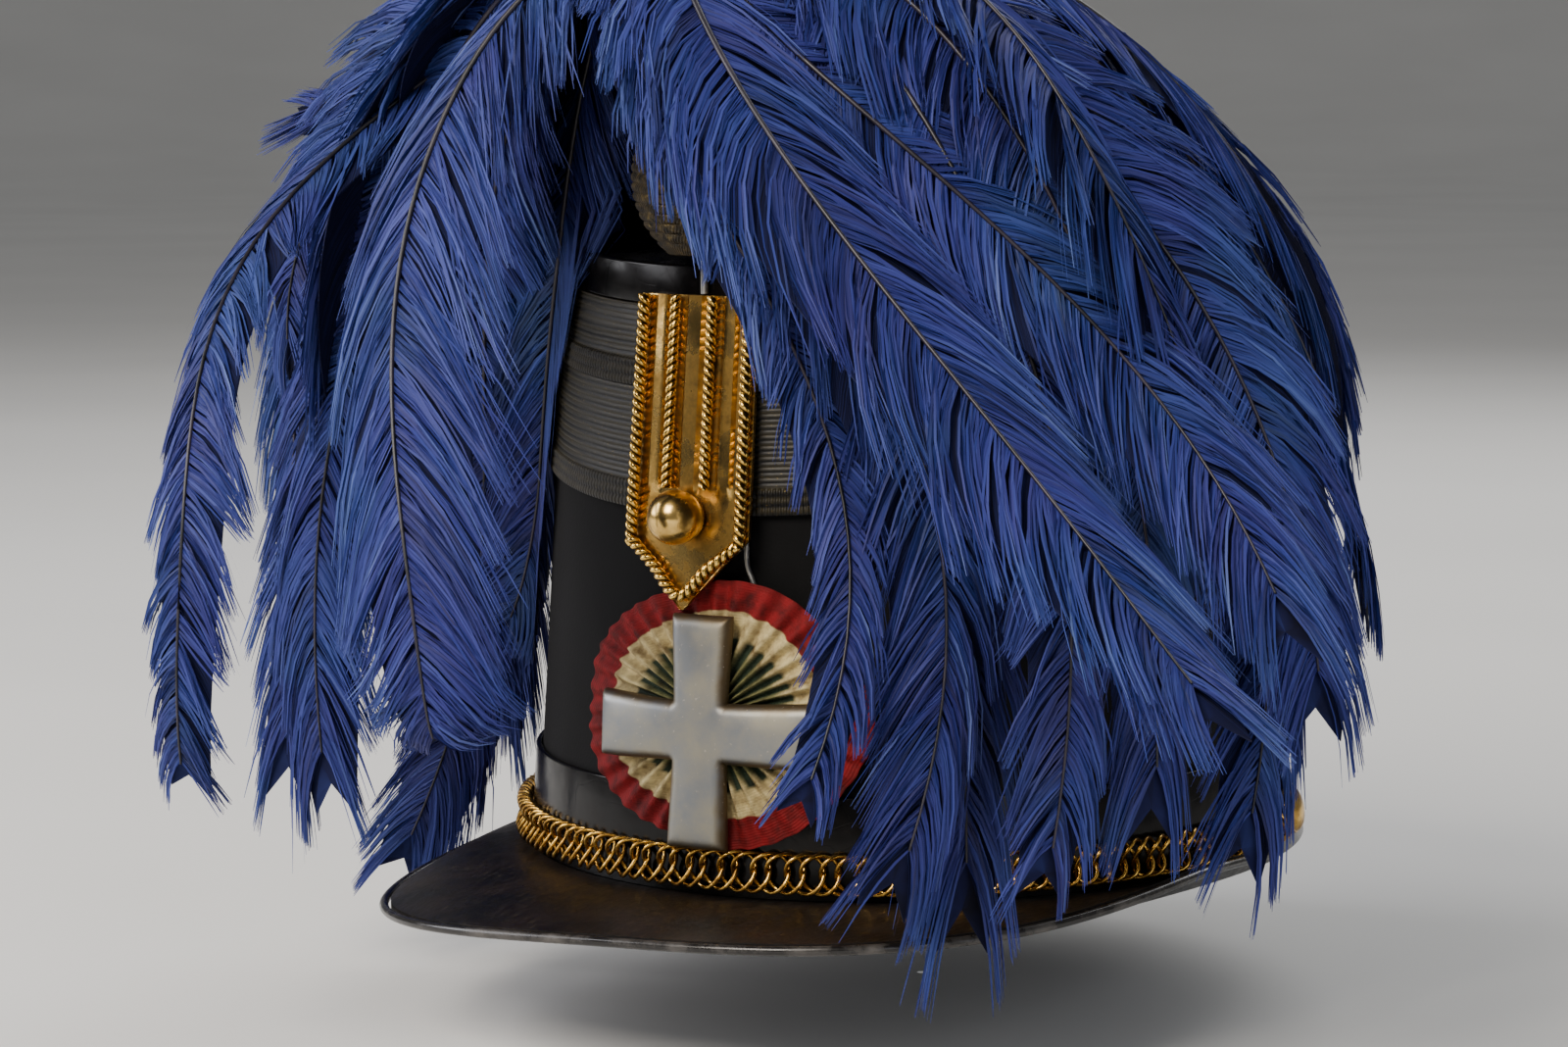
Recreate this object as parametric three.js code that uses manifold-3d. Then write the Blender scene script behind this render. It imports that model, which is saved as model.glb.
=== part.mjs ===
// A soldier's parade shako of about 1860: a velvet-covered shell that narrows upwards and rises to
// the rear, patent leather trims, two lace bands, a gilt loop plate with a ball button, a pleated
// cockade under a white-metal cross, a chin chain laid over the peak, and a weeping feather plume.
// Millimetres, +Z up. The origin is the middle of the rim, where a head goes in. The front is -Y.

import * as THREE from "three";
import { mergeVertices } from "three/addons/utils/BufferGeometryUtils.js";
import Module from "manifold-3d";

const wasm = await Module();
wasm.setup();

// Shell
const rimHalfWidth = 90.5;
const rimHalfLength = 103.5;
const crownHalfWidth = 69;
const crownHalfLength = 60;
const crownForward = 34;
const frontHeight = 144;
const crownSlope = 0.2;
const shellWall = 2.6;
const ringSteps = 40;

// Trims that lie on the shell
const seat = 0.3;
const bandGap = 0.2;
const leather = 1.2;
const crownLeather = 2;
const crownDish = 1.2;
const crownRimLip = 0.6;
const crownBandHeight = 8.5;
const laceThick = 0.9;
const laceHeight = 27.5;
const laceUpperShows = 18.6;
const laceBorder = 6;
const laceBorderRelief = 0.5;
const baseBandHeight = 26;

// Peak
const peakReach = 40.5;
const peakHalfWidth = 98.5;
const peakThick = 2.4;
const peakSquareness = 0.68;
const peakSeamHeight = 1.3;
const peakEdgeHeight = 2.9;
const peakDrop = 4.2;
const peakLean = 4.8;
const peakSideDroop = 3;
const peakEndTurn = 97;
const peakTaperTurn = 76;
const peakSteps = 30;
const peakBindingTurn = 90;
const bindingRadius = 1.1;
const bindingSlack = 0.2;

// Chin chain and its buttons
const chainHeight = 8.3;
const chainWidth = 9;
const chainThick = 3.2;
const chainSides = 8;
const chainSteps = 36;
const sideButtonTurn = 107;
const sideButtonRadius = 6;
const sideButtonDome = 3.4;

// Loop plate, its wires and its ball button
const plateWidth = 30;
const plateThick = 1;
const plateRelief = 0.8;
const plateOverlap = 2.5;
const plateTipClear = 0.5;
const plateTaper = 16.5;
const plateReliefClear = 1.7;
const plateReliefFade = 4;
const plateTipBlunt = 1;
const wireInset = 0.2;
const wireBend = 1.5;
const borderWireRadius = 1.4;
const innerWireRadius = 1.25;
const innerWireSpacing = 9.4;
const wireSides = 6;
const ballRadius = 6.3;
const ballRise = 21;
const ballSink = 2.1;

// Cockade, its hook wire and the cross
const cockadeHalfWidth = 35;
const cockadeHalfHeight = 30;
const cockadeSide = 6;
const cockadeHeight = 43.6;
const cockadeThick = 0.8;
const cockadePleats = 38;
const cockadePleatDepth = 0.9;
const hookRadius = 0.6;
const hookSide = 14;
const hookClear = 1.8;
const hookLength = 35;
const hookBow = 1.5;
const hookLean = 1;
const hookGap = 0.1;
const crossWidth = 52;
const crossHeight = 53;
const crossArm = 14;
const crossArmEnd = 16;
const crossThick = 3;
const crossBevel = 0.9;
const crossSide = 5;
const crossMiddle = 40;

// Plume socket and plume
const oliveRadius = 16.4;
const oliveHeight = 41;
const oliveRise = 3.2;
const oliveRidges = 8;
const oliveRidgeDepth = 0.7;
const oliveSide = 1.5;
const prongRadius = 0.9;
const headRise = 22.8;
const headSide = -9;
const headRadius = 15;
const featherWidth = 36;
const featherThick = 2;
const featherTent = 0.14;
const featherRoot = 4;
const featherBelly = 0.42;
const plumeReach = 150;
const plumeDrop = 240;
const plumeLift = 28;
const plumeSliver = 0.5;

const rearHeight = frontHeight + 2 * crownHalfLength * crownSlope;
const laceOuter = seat + laceThick;
const bandOuter = seat + leather;
const plateTop = frontHeight - crownBandHeight + plateOverlap;
const plateTip = crossMiddle + crossHeight / 2 + plateTipClear;
const plateShoulder = plateTip + plateTaper;
const ballHeight = plateTip + ballRise;
const plateReliefEnd = ballHeight + ballRadius + plateReliefClear;
const laceLow = frontHeight - crownBandHeight - laceUpperShows - laceHeight - 2 * seat;
const hookTop = laceLow - hookClear;
const hookFoot = hookTop - hookLength;
const oliveFoot = frontHeight + oliveRise;
const headHeight = oliveFoot + oliveHeight + headRise;
const plateBack = laceOuter + laceBorderRelief + seat;
const plateFront = plateBack + plateThick;
const chainOffset = bandOuter + seat + bandGap + chainThick / 2;
const cockadeOffset = bandOuter + seat + bandGap + cockadePleatDepth + cockadeThick / 2;
const cockadeFront = cockadeOffset + cockadePleatDepth + cockadeThick / 2;
const cockadeTop = cockadeHeight + cockadeHalfHeight;
const plateLean = (cockadeFront + seat - plateBack) / (plateTop - cockadeTop);
const prongOffset = plateBack + prongRadius;
const degree = Math.PI / 180;

const materials = {
  velvet: { color: 0x0c0b0f, roughness: 0.95, metalness: 0 },
  patent: { color: 0x0e0d0d, roughness: 0.2, metalness: 0 },
  peakLeather: { color: 0x1c1612, roughness: 0.45, metalness: 0 },
  binding: { color: 0x6d6c69, roughness: 0.5, metalness: 0 },
  lace: { color: 0x2c2a2a, roughness: 0.6, metalness: 0.2 },
  gilt: { color: 0xb08a35, roughness: 0.35, metalness: 1 },
  whiteMetal: { color: 0x98968f, roughness: 0.45, metalness: 0.9 },
  ribbon: { color: 0xb5433f, roughness: 0.85, metalness: 0 },
  wound: { color: 0x4a4228, roughness: 0.6, metalness: 0.3 },
  feather: { color: 0x2f3b7c, roughness: 0.8, metalness: 0 },
};

const group = new THREE.Group();

function add(name, geometry, material) {
  const mesh = new THREE.Mesh(geometry, new THREE.MeshStandardMaterial(materials[material]));
  mesh.name = name;
  group.add(mesh);
  return mesh;
}

function mix(from, to, share) {
  return from + (to - from) * share;
}

function clamp(value) {
  return Math.min(1, Math.max(0, value));
}

function smooth(value) {
  const share = clamp(value);
  return share * share * (3 - 2 * share);
}

// The shell's face: turn is the angle round the oval from the front towards +X, height is above the
// rim, and offset is measured outwards from the velvet. The ovals shrink and move forward upwards.
function onShell(turn, height, offset) {
  const share = height / rearHeight;
  const halfWidth = mix(rimHalfWidth, crownHalfWidth, share);
  const halfLength = mix(rimHalfLength, crownHalfLength, share);
  const outward = new THREE.Vector2(Math.sin(turn) / halfWidth, -Math.cos(turn) / halfLength);
  outward.normalize();
  return new THREE.Vector3(
    halfWidth * Math.sin(turn) + outward.x * offset,
    -crownForward * share - halfLength * Math.cos(turn) + outward.y * offset,
    height,
  );
}

// The same face by a distance to the side of the front line.
function atFront(side, height, offset) {
  const halfWidth = mix(rimHalfWidth, crownHalfWidth, height / rearHeight);
  return onShell(Math.asin(side / halfWidth), height, offset);
}

// The same face on a plane that has this height at the front and climbs to the rear like the crown.
function onSlope(turn, height, offset) {
  const front = onShell(0, height, 0);
  let point = onShell(turn, height, offset);
  for (let pass = 0; pass < 6; pass += 1) {
    point = onShell(turn, height + crownSlope * (point.y - front.y), offset);
  }
  return point;
}

// Skins a row of closed sections, all with the same number of points. An open row gets a fan on
// each end, and a closed one joins its last section to its first.
function skin(sections, closed = false) {
  const count = sections[0].length;
  const points = sections.flat();
  const index = [];
  const last = closed ? sections.length : sections.length - 1;
  for (let row = 0; row < last; row += 1) {
    const next = (row + 1) % sections.length;
    for (let step = 0; step < count; step += 1) {
      const a = row * count + step;
      const b = row * count + ((step + 1) % count);
      const c = next * count + ((step + 1) % count);
      const d = next * count + step;
      index.push(a, b, c, a, c, d);
    }
  }
  if (!closed) {
    for (const row of [0, sections.length - 1]) {
      const middle = new THREE.Vector3();
      sections[row].forEach((point) => middle.addScaledVector(point, 1 / count));
      points.push(middle);
      for (let step = 0; step < count; step += 1) {
        const a = row * count + step;
        const b = row * count + ((step + 1) % count);
        index.push(...(row === 0 ? [points.length - 1, b, a] : [points.length - 1, a, b]));
      }
    }
  }
  const geometry = new THREE.BufferGeometry().setFromPoints(points);
  geometry.setIndex(index);
  return outward(geometry);
}

function outward(geometry) {
  const place = geometry.getAttribute("position");
  const index = geometry.getIndex();
  const corner = [0, 1, 2].map(() => new THREE.Vector3());
  let volume = 0;
  for (let at = 0; at < index.count; at += 3) {
    corner.forEach((point, which) => point.fromBufferAttribute(place, index.getX(at + which)));
    volume += corner[0].dot(corner[1].cross(corner[2]));
  }
  if (volume < 0) {
    for (let at = 0; at < index.count; at += 3) {
      const kept = index.getX(at);
      index.setX(at, index.getX(at + 2));
      index.setX(at + 2, kept);
    }
  }
  return geometry;
}

function ringAt(pointAt) {
  const points = [];
  for (let step = 0; step < ringSteps; step += 1) {
    points.push(pointAt((2 * Math.PI * step) / ringSteps));
  }
  return points;
}

// A band round the shell. Each profile corner has its offset, its height at the front, and whether
// it lies level or on the crown's slope.
function shellBand(profile) {
  return skin(
    profile.map(({ offset, height, place }) => ringAt((turn) => place(turn, height, offset))),
    true,
  );
}

function box(inner, outer, low, high, place) {
  return [
    { offset: outer, height: low, place },
    { offset: outer, height: high, place },
    { offset: inner, height: high, place },
    { offset: inner, height: low, place },
  ];
}

function tube(points, radiusA, radiusB, sides, steps) {
  const section = new THREE.Shape();
  for (let side = 0; side < sides; side += 1) {
    const angle = (2 * Math.PI * (side + 0.5)) / sides;
    const x = radiusA * Math.cos(angle);
    const y = radiusB * Math.sin(angle);
    if (side === 0) section.moveTo(x, y);
    else section.lineTo(x, y);
  }
  section.closePath();
  const path = new THREE.CatmullRomCurve3(points);
  return new THREE.ExtrudeGeometry(section, { steps, bevelEnabled: false, extrudePath: path });
}

function manifold(geometry) {
  const bare = geometry.clone();
  bare.deleteAttribute("normal");
  bare.deleteAttribute("uv");
  const merged = mergeVertices(bare, 1e-4);
  return new wasm.Manifold(
    new wasm.Mesh({
      numProp: 3,
      vertProperties: new Float32Array(merged.getAttribute("position").array),
      triVerts: new Uint32Array(merged.getIndex().array),
    }),
  );
}

// The outer skin of a joined solid: pockets closed off inside it are filled.
function fromManifold(solid) {
  const skins = solid.decompose();
  const outer = skins.reduce((kept, part) => (part.volume() > kept.volume() ? part : kept));
  const mesh = outer.getMesh();
  const geometry = new THREE.BufferGeometry();
  geometry.setAttribute("position", new THREE.BufferAttribute(mesh.vertProperties, 3));
  geometry.setIndex(new THREE.BufferAttribute(mesh.triVerts, 1));
  return geometry;
}

// Turns a lathed piece so that its own axis stands square to the shell at a place on it.
function standOut(mesh, turn, height, offset) {
  const foot = onShell(turn, height, 0);
  const round = onShell(turn + 0.01, height, 0).sub(foot);
  const up = onShell(turn, height + 1, 0).sub(foot);
  const square = round.cross(up).normalize();
  mesh.position.copy(foot).addScaledVector(square, offset);
  mesh.quaternion.setFromUnitVectors(new THREE.Vector3(0, 1, 0), square);
}

function makeShell() {
  const top = frontHeight - crownLeather - 2 * seat;
  const partWay = (share) => (turn, height, offset) =>
    onShell(turn, onSlope(turn, height, offset).z * share, offset);
  const row = (share, offset) => ({ offset, height: top, place: partWay(share) });
  const outside = [0, 0.25, 0.5, 0.75, 1].map((share) => row(share, 0));
  const inside = [1, 0.67, 0.33, 0].map((share) => row(share, -shellWall));
  const wall = [...outside, ...inside];
  add("body", shellBand(wall), "velvet");
}

function makeCrown() {
  const top = frontHeight - seat;
  const disc = (share, height) =>
    ringAt((turn) => {
      const edge = onSlope(turn, frontHeight, 0);
      const middle = onSlope(0, frontHeight, 0).lerp(onSlope(Math.PI, frontHeight, 0), 0.5);
      const point = middle.lerp(edge, share);
      point.z += height - frontHeight;
      return point;
    });
  const rows = [
    disc(0.5, top - crownLeather),
    disc(1, top - crownLeather),
    disc(1, top),
    disc(0.93, top),
    disc(0.5, top - crownDish + crownLeather * 0.2),
  ];
  add("crown_top", skin(rows), "patent");
  const low = frontHeight - crownBandHeight;
  add("crown_band", shellBand(box(seat, bandOuter, low, frontHeight + crownRimLip, onSlope)), "patent");
}

function makeLaces() {
  const under = frontHeight - crownBandHeight - seat;
  ["lace_upper", "lace_lower"].forEach((name, row) => {
    const top = under - row * (laceUpperShows + seat);
    const low = top - (row === 0 ? laceUpperShows : laceHeight);
    const profile = [
      { offset: laceOuter + laceBorderRelief, height: low, place: onSlope },
      { offset: laceOuter + laceBorderRelief, height: low + laceBorder, place: onSlope },
      { offset: laceOuter, height: low + laceBorder, place: onSlope },
      { offset: laceOuter, height: top, place: onSlope },
      { offset: seat, height: top, place: onSlope },
      { offset: seat, height: low, place: onSlope },
    ];
    add(name, shellBand(profile), "lace");
  });
}

// The peak's edge is a squared oval that eases back into the shell at both ends. It drops towards
// the front, droops at its corners, and leans a little to one side, as worn leather does.
function peakPoint(turn, share, above) {
  const inner = onShell(turn, peakSeamHeight, bandOuter + seat);
  const reach = rimHalfLength + peakReach;
  const bend = (value) => Math.sign(value) * Math.abs(value) ** peakSquareness;
  const outer = new THREE.Vector3(peakHalfWidth * bend(Math.sin(turn)), -reach * bend(Math.cos(turn)), 0);
  const ahead = Math.max(0, -outer.y / rimHalfLength);
  const aside = outer.x / rimHalfWidth;
  outer.z = peakEdgeHeight - peakDrop * Math.max(0, ahead - 0.4) + peakLean * aside;
  outer.z -= peakSideDroop * aside * aside * Math.min(1, ahead);
  const over = (Math.abs(turn) / degree - peakTaperTurn) / (peakEndTurn - peakTaperTurn);
  const keep = 1 - 0.9 * smooth(over);
  const edge = inner.clone().lerp(outer, keep);
  const point = inner.clone().lerp(edge, share);
  point.z = mix(inner.z, edge.z, share ** 1.8) + above;
  return point;
}

function makePeak() {
  const shares = [0, 0.3, 0.65, 1];
  const sections = [];
  const rim = [];
  for (let step = 0; step <= peakSteps; step += 1) {
    const turn = mix(-peakEndTurn, peakEndTurn, step / peakSteps) * degree;
    const over = shares.map((share) => peakPoint(turn, share, peakThick / 2));
    const under = shares.map((share) => peakPoint(turn, share, -peakThick / 2)).reverse();
    sections.push([...over, ...under]);
  }
  const rimSteps = Math.round(1.5 * peakSteps);
  for (let step = 0; step <= rimSteps; step += 1) {
    const turn = mix(-peakBindingTurn, peakBindingTurn, step / rimSteps) * degree;
    const edge = peakPoint(turn, 1, 0);
    const along = peakPoint(turn + 0.01, 1, 0).sub(peakPoint(turn - 0.01, 1, 0)).setZ(0).normalize();
    const clear = bindingRadius + seat + bindingSlack;
    rim.push(edge.add(new THREE.Vector3(along.y, -along.x, 0).multiplyScalar(clear)));
  }
  add("peak", skin(sections), "peakLeather");
  add("peak_binding", tube(rim, bindingRadius, bindingRadius, wireSides, rimSteps), "binding");
}

function makeBaseBand() {
  add("base_band", shellBand(box(seat, bandOuter, 0, baseBandHeight, onShell)), "patent");
}

function makeChain() {
  const room = sideButtonRadius + 2 * seat;
  const end = sideButtonTurn * degree - room / rimHalfWidth;
  const route = [];
  for (let step = 0; step <= chainSteps; step += 1) {
    route.push(onShell(mix(-end, end, step / chainSteps), chainHeight, chainOffset));
  }
  add("chin_chain", tube(route, chainWidth / 2, chainThick / 2, chainSides, chainSteps), "gilt");
  const profile = [
    new THREE.Vector2(0, 0),
    new THREE.Vector2(sideButtonRadius, 0),
    new THREE.Vector2(sideButtonRadius, sideButtonDome * 0.3),
    new THREE.Vector2(sideButtonRadius * 0.7, sideButtonDome * 0.8),
    new THREE.Vector2(0, sideButtonDome),
  ];
  for (const [name, side] of [["chain_button_left", -1], ["chain_button_right", 1]]) {
    const button = add(name, new THREE.LatheGeometry(profile, 12), "gilt");
    standOut(button, side * sideButtonTurn * degree, chainHeight, bandOuter + seat + bandGap);
  }
}

// The plate leans out downwards, so that its point lies over the cockade's edge.
function onPlate(side, height, offset) {
  return atFront(side, height, offset + plateLean * (plateTop - height));
}

// Half the plate's width at a height: even down to the shoulder, then a straight point.
function plateHalf(height) {
  return (plateWidth / 2) * clamp((height - plateTip) / (plateShoulder - plateTip));
}

function makeLoopPlate() {
  // Across the plate, as shares of its half width: where each flat bar starts and ends.
  const bars = [
    { from: -0.72, to: -0.48 },
    { from: -0.15, to: 0.15 },
    { from: 0.48, to: 0.72 },
  ];
  const flank = 0.05;
  const across = [{ share: -1, raised: 0 }];
  for (const { from, to } of bars) {
    across.push({ share: from - flank, raised: 0 }, { share: from, raised: 1 });
    across.push({ share: to, raised: 1 }, { share: to + flank, raised: 0 });
  }
  across.push({ share: 1, raised: 0 });
  const faded = plateReliefEnd - plateReliefFade;
  const heights = [plateTop, plateReliefEnd, faded, plateShoulder, plateTip + plateTipBlunt];
  const sections = heights.map((height) => {
    const half = plateHalf(height);
    const lift = height >= plateReliefEnd ? plateRelief : 0;
    const front = across.map(({ share, raised }) =>
      onPlate(share * half, height, plateFront + raised * lift),
    );
    const back = across.map(({ share }) => onPlate(share * half, height, plateBack)).reverse();
    return [...front, ...back];
  });
  add("loop_plate", skin(sections), "gilt");
}

function makePlateWires() {
  const inset = borderWireRadius + wireInset;
  const offset = plateFront + seat + borderWireRadius;
  const side = plateWidth / 2 - inset;
  const foot = plateTip + 2.2 * inset;
  const left = [];
  for (const height of [plateTop, mix(plateTop, plateShoulder, 0.5), plateShoulder + plateTipBlunt]) {
    left.push(onPlate(-side, height, offset));
  }
  left.push(onPlate(-side * 0.93, plateShoulder - wireBend, offset));
  left.push(onPlate(-side * 0.5, mix(plateShoulder, foot, 0.5), offset));
  const right = left.map((point) => point.clone().setX(-point.x)).reverse();
  const route = [...left, onPlate(0, foot, offset), ...right];
  add("plate_border", tube(route, borderWireRadius, borderWireRadius, wireSides, 36), "gilt");
  const inner = plateFront + seat + innerWireRadius;
  const end = ballHeight + ballRadius + seat;
  for (const [name, hand] of [["plate_wire_left", -1], ["plate_wire_right", 1]]) {
    const x = (hand * innerWireSpacing) / 2;
    const run = [plateTop, mix(plateTop, end, 0.5), end].map((height) => onPlate(x, height, inner));
    add(name, tube(run, innerWireRadius, innerWireRadius, wireSides, 6), "gilt");
  }
}

function makeBallButton() {
  const profile = [new THREE.Vector2(0, 0)];
  const start = Math.acos((ballRadius - ballSink) / ballRadius);
  const rows = 8;
  for (let row = 0; row <= rows; row += 1) {
    const angle = mix(start, Math.PI, row / rows);
    const radius = row === rows ? 0 : ballRadius * Math.sin(angle);
    profile.push(new THREE.Vector2(radius, ballRadius - ballSink - ballRadius * Math.cos(angle)));
  }
  const ball = add("ball_button", new THREE.LatheGeometry(profile, 14), "gilt");
  const lean = plateLean * (plateTop - ballHeight);
  standOut(ball, 0, ballHeight, plateFront + lean + 2 * seat);
}

// A ribbon gathered to its middle. The pleats deepen towards the edge, and the edge wavers.
function makeCockade() {
  const steps = cockadePleats * 2;
  const rows = [
    { share: 0.14, depth: 0 },
    { share: 0.5, depth: 0.6 },
    { share: 1, depth: 1 },
  ];
  const ringOf = ({ share, depth }, above) => {
    const points = [];
    for (let step = 0; step < steps; step += 1) {
      const turn = (2 * Math.PI * step) / steps;
      const waver = 1 + 0.025 * Math.sin(3 * turn + 0.6) + 0.02 * Math.sin(5 * turn);
      const reach = share * waver;
      const side = cockadeSide + cockadeHalfWidth * reach * Math.sin(turn);
      const height = cockadeHeight + cockadeHalfHeight * reach * Math.cos(turn);
      const fold = (step % 2 === 0 ? 1 : -1) * cockadePleatDepth * depth;
      points.push(atFront(side, height, cockadeOffset + fold + above));
    }
    return points;
  };
  const front = rows.map((row) => ringOf(row, cockadeThick / 2));
  const back = rows.map((row) => ringOf(row, -cockadeThick / 2)).reverse();
  add("cockade", skin([...front, ...back]), "ribbon");
}

function makeHookWire() {
  const offset = seat + hookRadius + hookGap;
  const route = [
    atFront(hookSide - hookLean, hookTop, offset),
    atFront(hookSide - hookLean, mix(hookTop, hookFoot, 0.25), offset),
    atFront(hookSide + hookBow, mix(hookTop, hookFoot, 0.55), offset),
    atFront(cockadeSide + 2 * hookLean, hookFoot, offset),
  ];
  add("hook_wire", tube(route, hookRadius, hookRadius, wireSides, 14), "whiteMetal");
}

// Four arms that widen a little to their ends, bevelled all round, and curved with the shell.
function makeCross() {
  const halfWide = crossWidth / 2 - crossBevel;
  const halfHigh = crossHeight / 2 - crossBevel;
  const root = crossArm / 2 - crossBevel;
  const end = crossArmEnd / 2 - crossBevel;
  const outline = [
    [end, halfHigh],
    [root, root],
    [halfWide, end],
    [halfWide, -end],
    [root, -root],
    [end, -halfHigh],
    [-end, -halfHigh],
    [-root, -root],
    [-halfWide, -end],
    [-halfWide, end],
    [-root, root],
    [-end, halfHigh],
  ];
  const shape = new THREE.Shape(outline.map(([x, y]) => new THREE.Vector2(x, y)));
  const geometry = new THREE.ExtrudeGeometry(shape, {
    depth: crossThick - 2 * crossBevel,
    steps: 1,
    bevelSize: crossBevel,
    bevelThickness: crossBevel,
    bevelSegments: 2,
  });
  const back = cockadeFront + 3 * seat;
  const place = geometry.getAttribute("position");
  for (let at = 0; at < place.count; at += 1) {
    const depth = place.getZ(at) + crossBevel;
    const height = crossMiddle + place.getY(at);
    const point = atFront(crossSide + place.getX(at), height, back + depth);
    place.setXYZ(at, point.x, point.y, point.z);
  }
  const cross = mergeVertices(geometry.deleteAttribute("uv").deleteAttribute("normal"), 1e-3);
  add("cross", outward(cross), "whiteMetal");
}

// A wound egg, blunt below and pointed above, ridged where each turn of lace lies.
function makeOlive() {
  const rows = oliveRidges * 2;
  const profile = [new THREE.Vector2(0, 0)];
  for (let row = 0; row <= rows; row += 1) {
    const share = row / rows;
    const egg = Math.sin(Math.PI * mix(0.13, 0.94, share ** 0.9)) ** 0.8;
    const ridge = row % 2 === 0 ? -oliveRidgeDepth : 0;
    profile.push(new THREE.Vector2(oliveRadius * egg + ridge, share * oliveHeight));
  }
  profile.push(new THREE.Vector2(0, oliveHeight));
  const olive = add("olive", new THREE.LatheGeometry(profile, 20), "wound");
  olive.rotation.x = Math.PI / 2;
  const foot = atFront(oliveSide, frontHeight, prongOffset);
  olive.position.set(foot.x, foot.y, oliveFoot);
  const low = plateTop + seat;
  const high = oliveFoot - seat;
  const pin = new THREE.CylinderGeometry(prongRadius, prongRadius, high - low, 8);
  const prong = add("plume_prong", pin, "whiteMetal");
  prong.rotation.x = Math.PI / 2;
  prong.position.set(foot.x, foot.y, (low + high) / 2);
}

// The feathers that show at the front and sides, one row each. Angles are degrees from the front
// towards +X: bearing at the root, turn by the tip, sway between. Bulge and tip are shares of the
// plume's reach, shoulder is a share of the feather's own fall, and fall is a share of the drop.
const featherColumns = ["bearing", "turn", "sway", "bulge", "tip", "shoulder", "fall", "width"];
const featherRows = [
  [-82, 24, -13, 0.92, 0.74, 0.4, 0.84, 0.8],
  [-48, 14, -22, 0.72, 0.66, 0.72, 0.86, 1.1],
  [-94, -2, -4, 0.8, 0.68, 0.35, 0.96, 1],
  [-110, 6, 1, 1.1, 0.94, 0.2, 0.64, 1],
  [-91, -4, 1, 0.72, 0.84, 0.3, 0.9, 1],
  [-131, 4, 1, 0.92, 0.98, 0.2, 0.9, 1],
  [-151, 38, -4, 0.88, 1.24, 0.95, 0.14, 1],
  [37, 28, -5, 0.8, 1.4, 0.75, 0.62, 1.1],
  [55, 22, -11, 0.7, 1.24, 0.45, 0.6, 1],
  [86, 8, -6, 1, 1.06, 0.35, 0.72, 1],
  [44, 0, -7, 1, 0.68, 0.4, 0.8, 0.6],
  [54, 0, -10, 1, 0.76, 0.3, 0.86, 0.9],
  [78, -6, -4, 0.96, 0.8, 0.35, 0.88, 0.7],
  [103, -12, -10, 1.08, 0.92, 0.2, 0.9, 0.8],
  [82, 0, -3, 0.92, 0.9, 0.15, 0.84, 0.9],
  [71, 2, -1, 0.7, 0.66, 0.2, 0.94, 1],
];
// The feathers behind, in fans: count of them spread evenly between two bearings.
const fanColumns = ["from", "to", "count", "bulge", "tip", "shoulder", "fall", "width"];
const fanRows = [
  [112, 142, 3, 1.06, 1.2, 0.28, 0.66, 1],
  [152, 206, 5, 1.18, 1.36, 0.16, 0.56, 1],
  [214, 240, 3, 1, 1.16, 0.24, 0.68, 1],
];

function namedRow(columns, values) {
  return Object.fromEntries(columns.map((column, at) => [column, values[at]]));
}

function bezier(points, share) {
  const rest = 1 - share;
  const weights = [rest ** 3, 3 * share * rest ** 2, 3 * share ** 2 * rest, share ** 3];
  return weights.reduce((sum, weight, at) => sum + weight * points[at], 0);
}

// Where a feather's shaft runs: out of the head, over, and down.
function shaftPoint(feather, share, head) {
  const { bearing, turn, sway, bulge, tip, shoulder, fall } = feather;
  const outwards = [featherRoot, featherBelly * bulge * plumeReach, bulge * plumeReach, tip * plumeReach];
  const down = fall * plumeDrop;
  const upwards = [0, plumeLift, -shoulder * down, -down];
  const angle = (bearing + turn * share + sway * Math.sin(2 * Math.PI * share)) * degree;
  const reach = bezier(outwards, share);
  return new THREE.Vector3(
    head.x + reach * Math.sin(angle),
    head.y - reach * Math.cos(angle),
    head.z + bezier(upwards, share),
  );
}

// A feather as a thin tent-shaped blade: full width over most of its length, round at its tip.
function featherBlade(feather, head) {
  const shares = [0, 0.13, 0.28, 0.43, 0.58, 0.74, 0.89, 1];
  const sections = shares.map((share) => {
    const point = shaftPoint(feather, share, head);
    const along = shaftPoint(feather, share + 0.01, head).sub(point).normalize();
    const angle = (feather.bearing + feather.turn * share) * degree;
    const aside = new THREE.Vector3(Math.cos(angle), Math.sin(angle), 0);
    aside.addScaledVector(along, -aside.dot(along)).normalize();
    const up = aside.clone().cross(along);
    const root = 0.2 + 0.8 * smooth(share / 0.16);
    const end = share > 0.72 ? Math.sqrt(1 - ((share - 0.72) / 0.3) ** 2) : 1;
    const half = (featherWidth / 2) * feather.width * root * end;
    const thick = (featherThick / 2) * Math.max(0.4, end);
    const corner = (side, height) =>
      point.clone().addScaledVector(aside, side).addScaledVector(up, height);
    return [
      corner(-half, -half * featherTent),
      corner(0, thick),
      corner(half, -half * featherTent),
    ];
  });
  return skin(sections);
}

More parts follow.
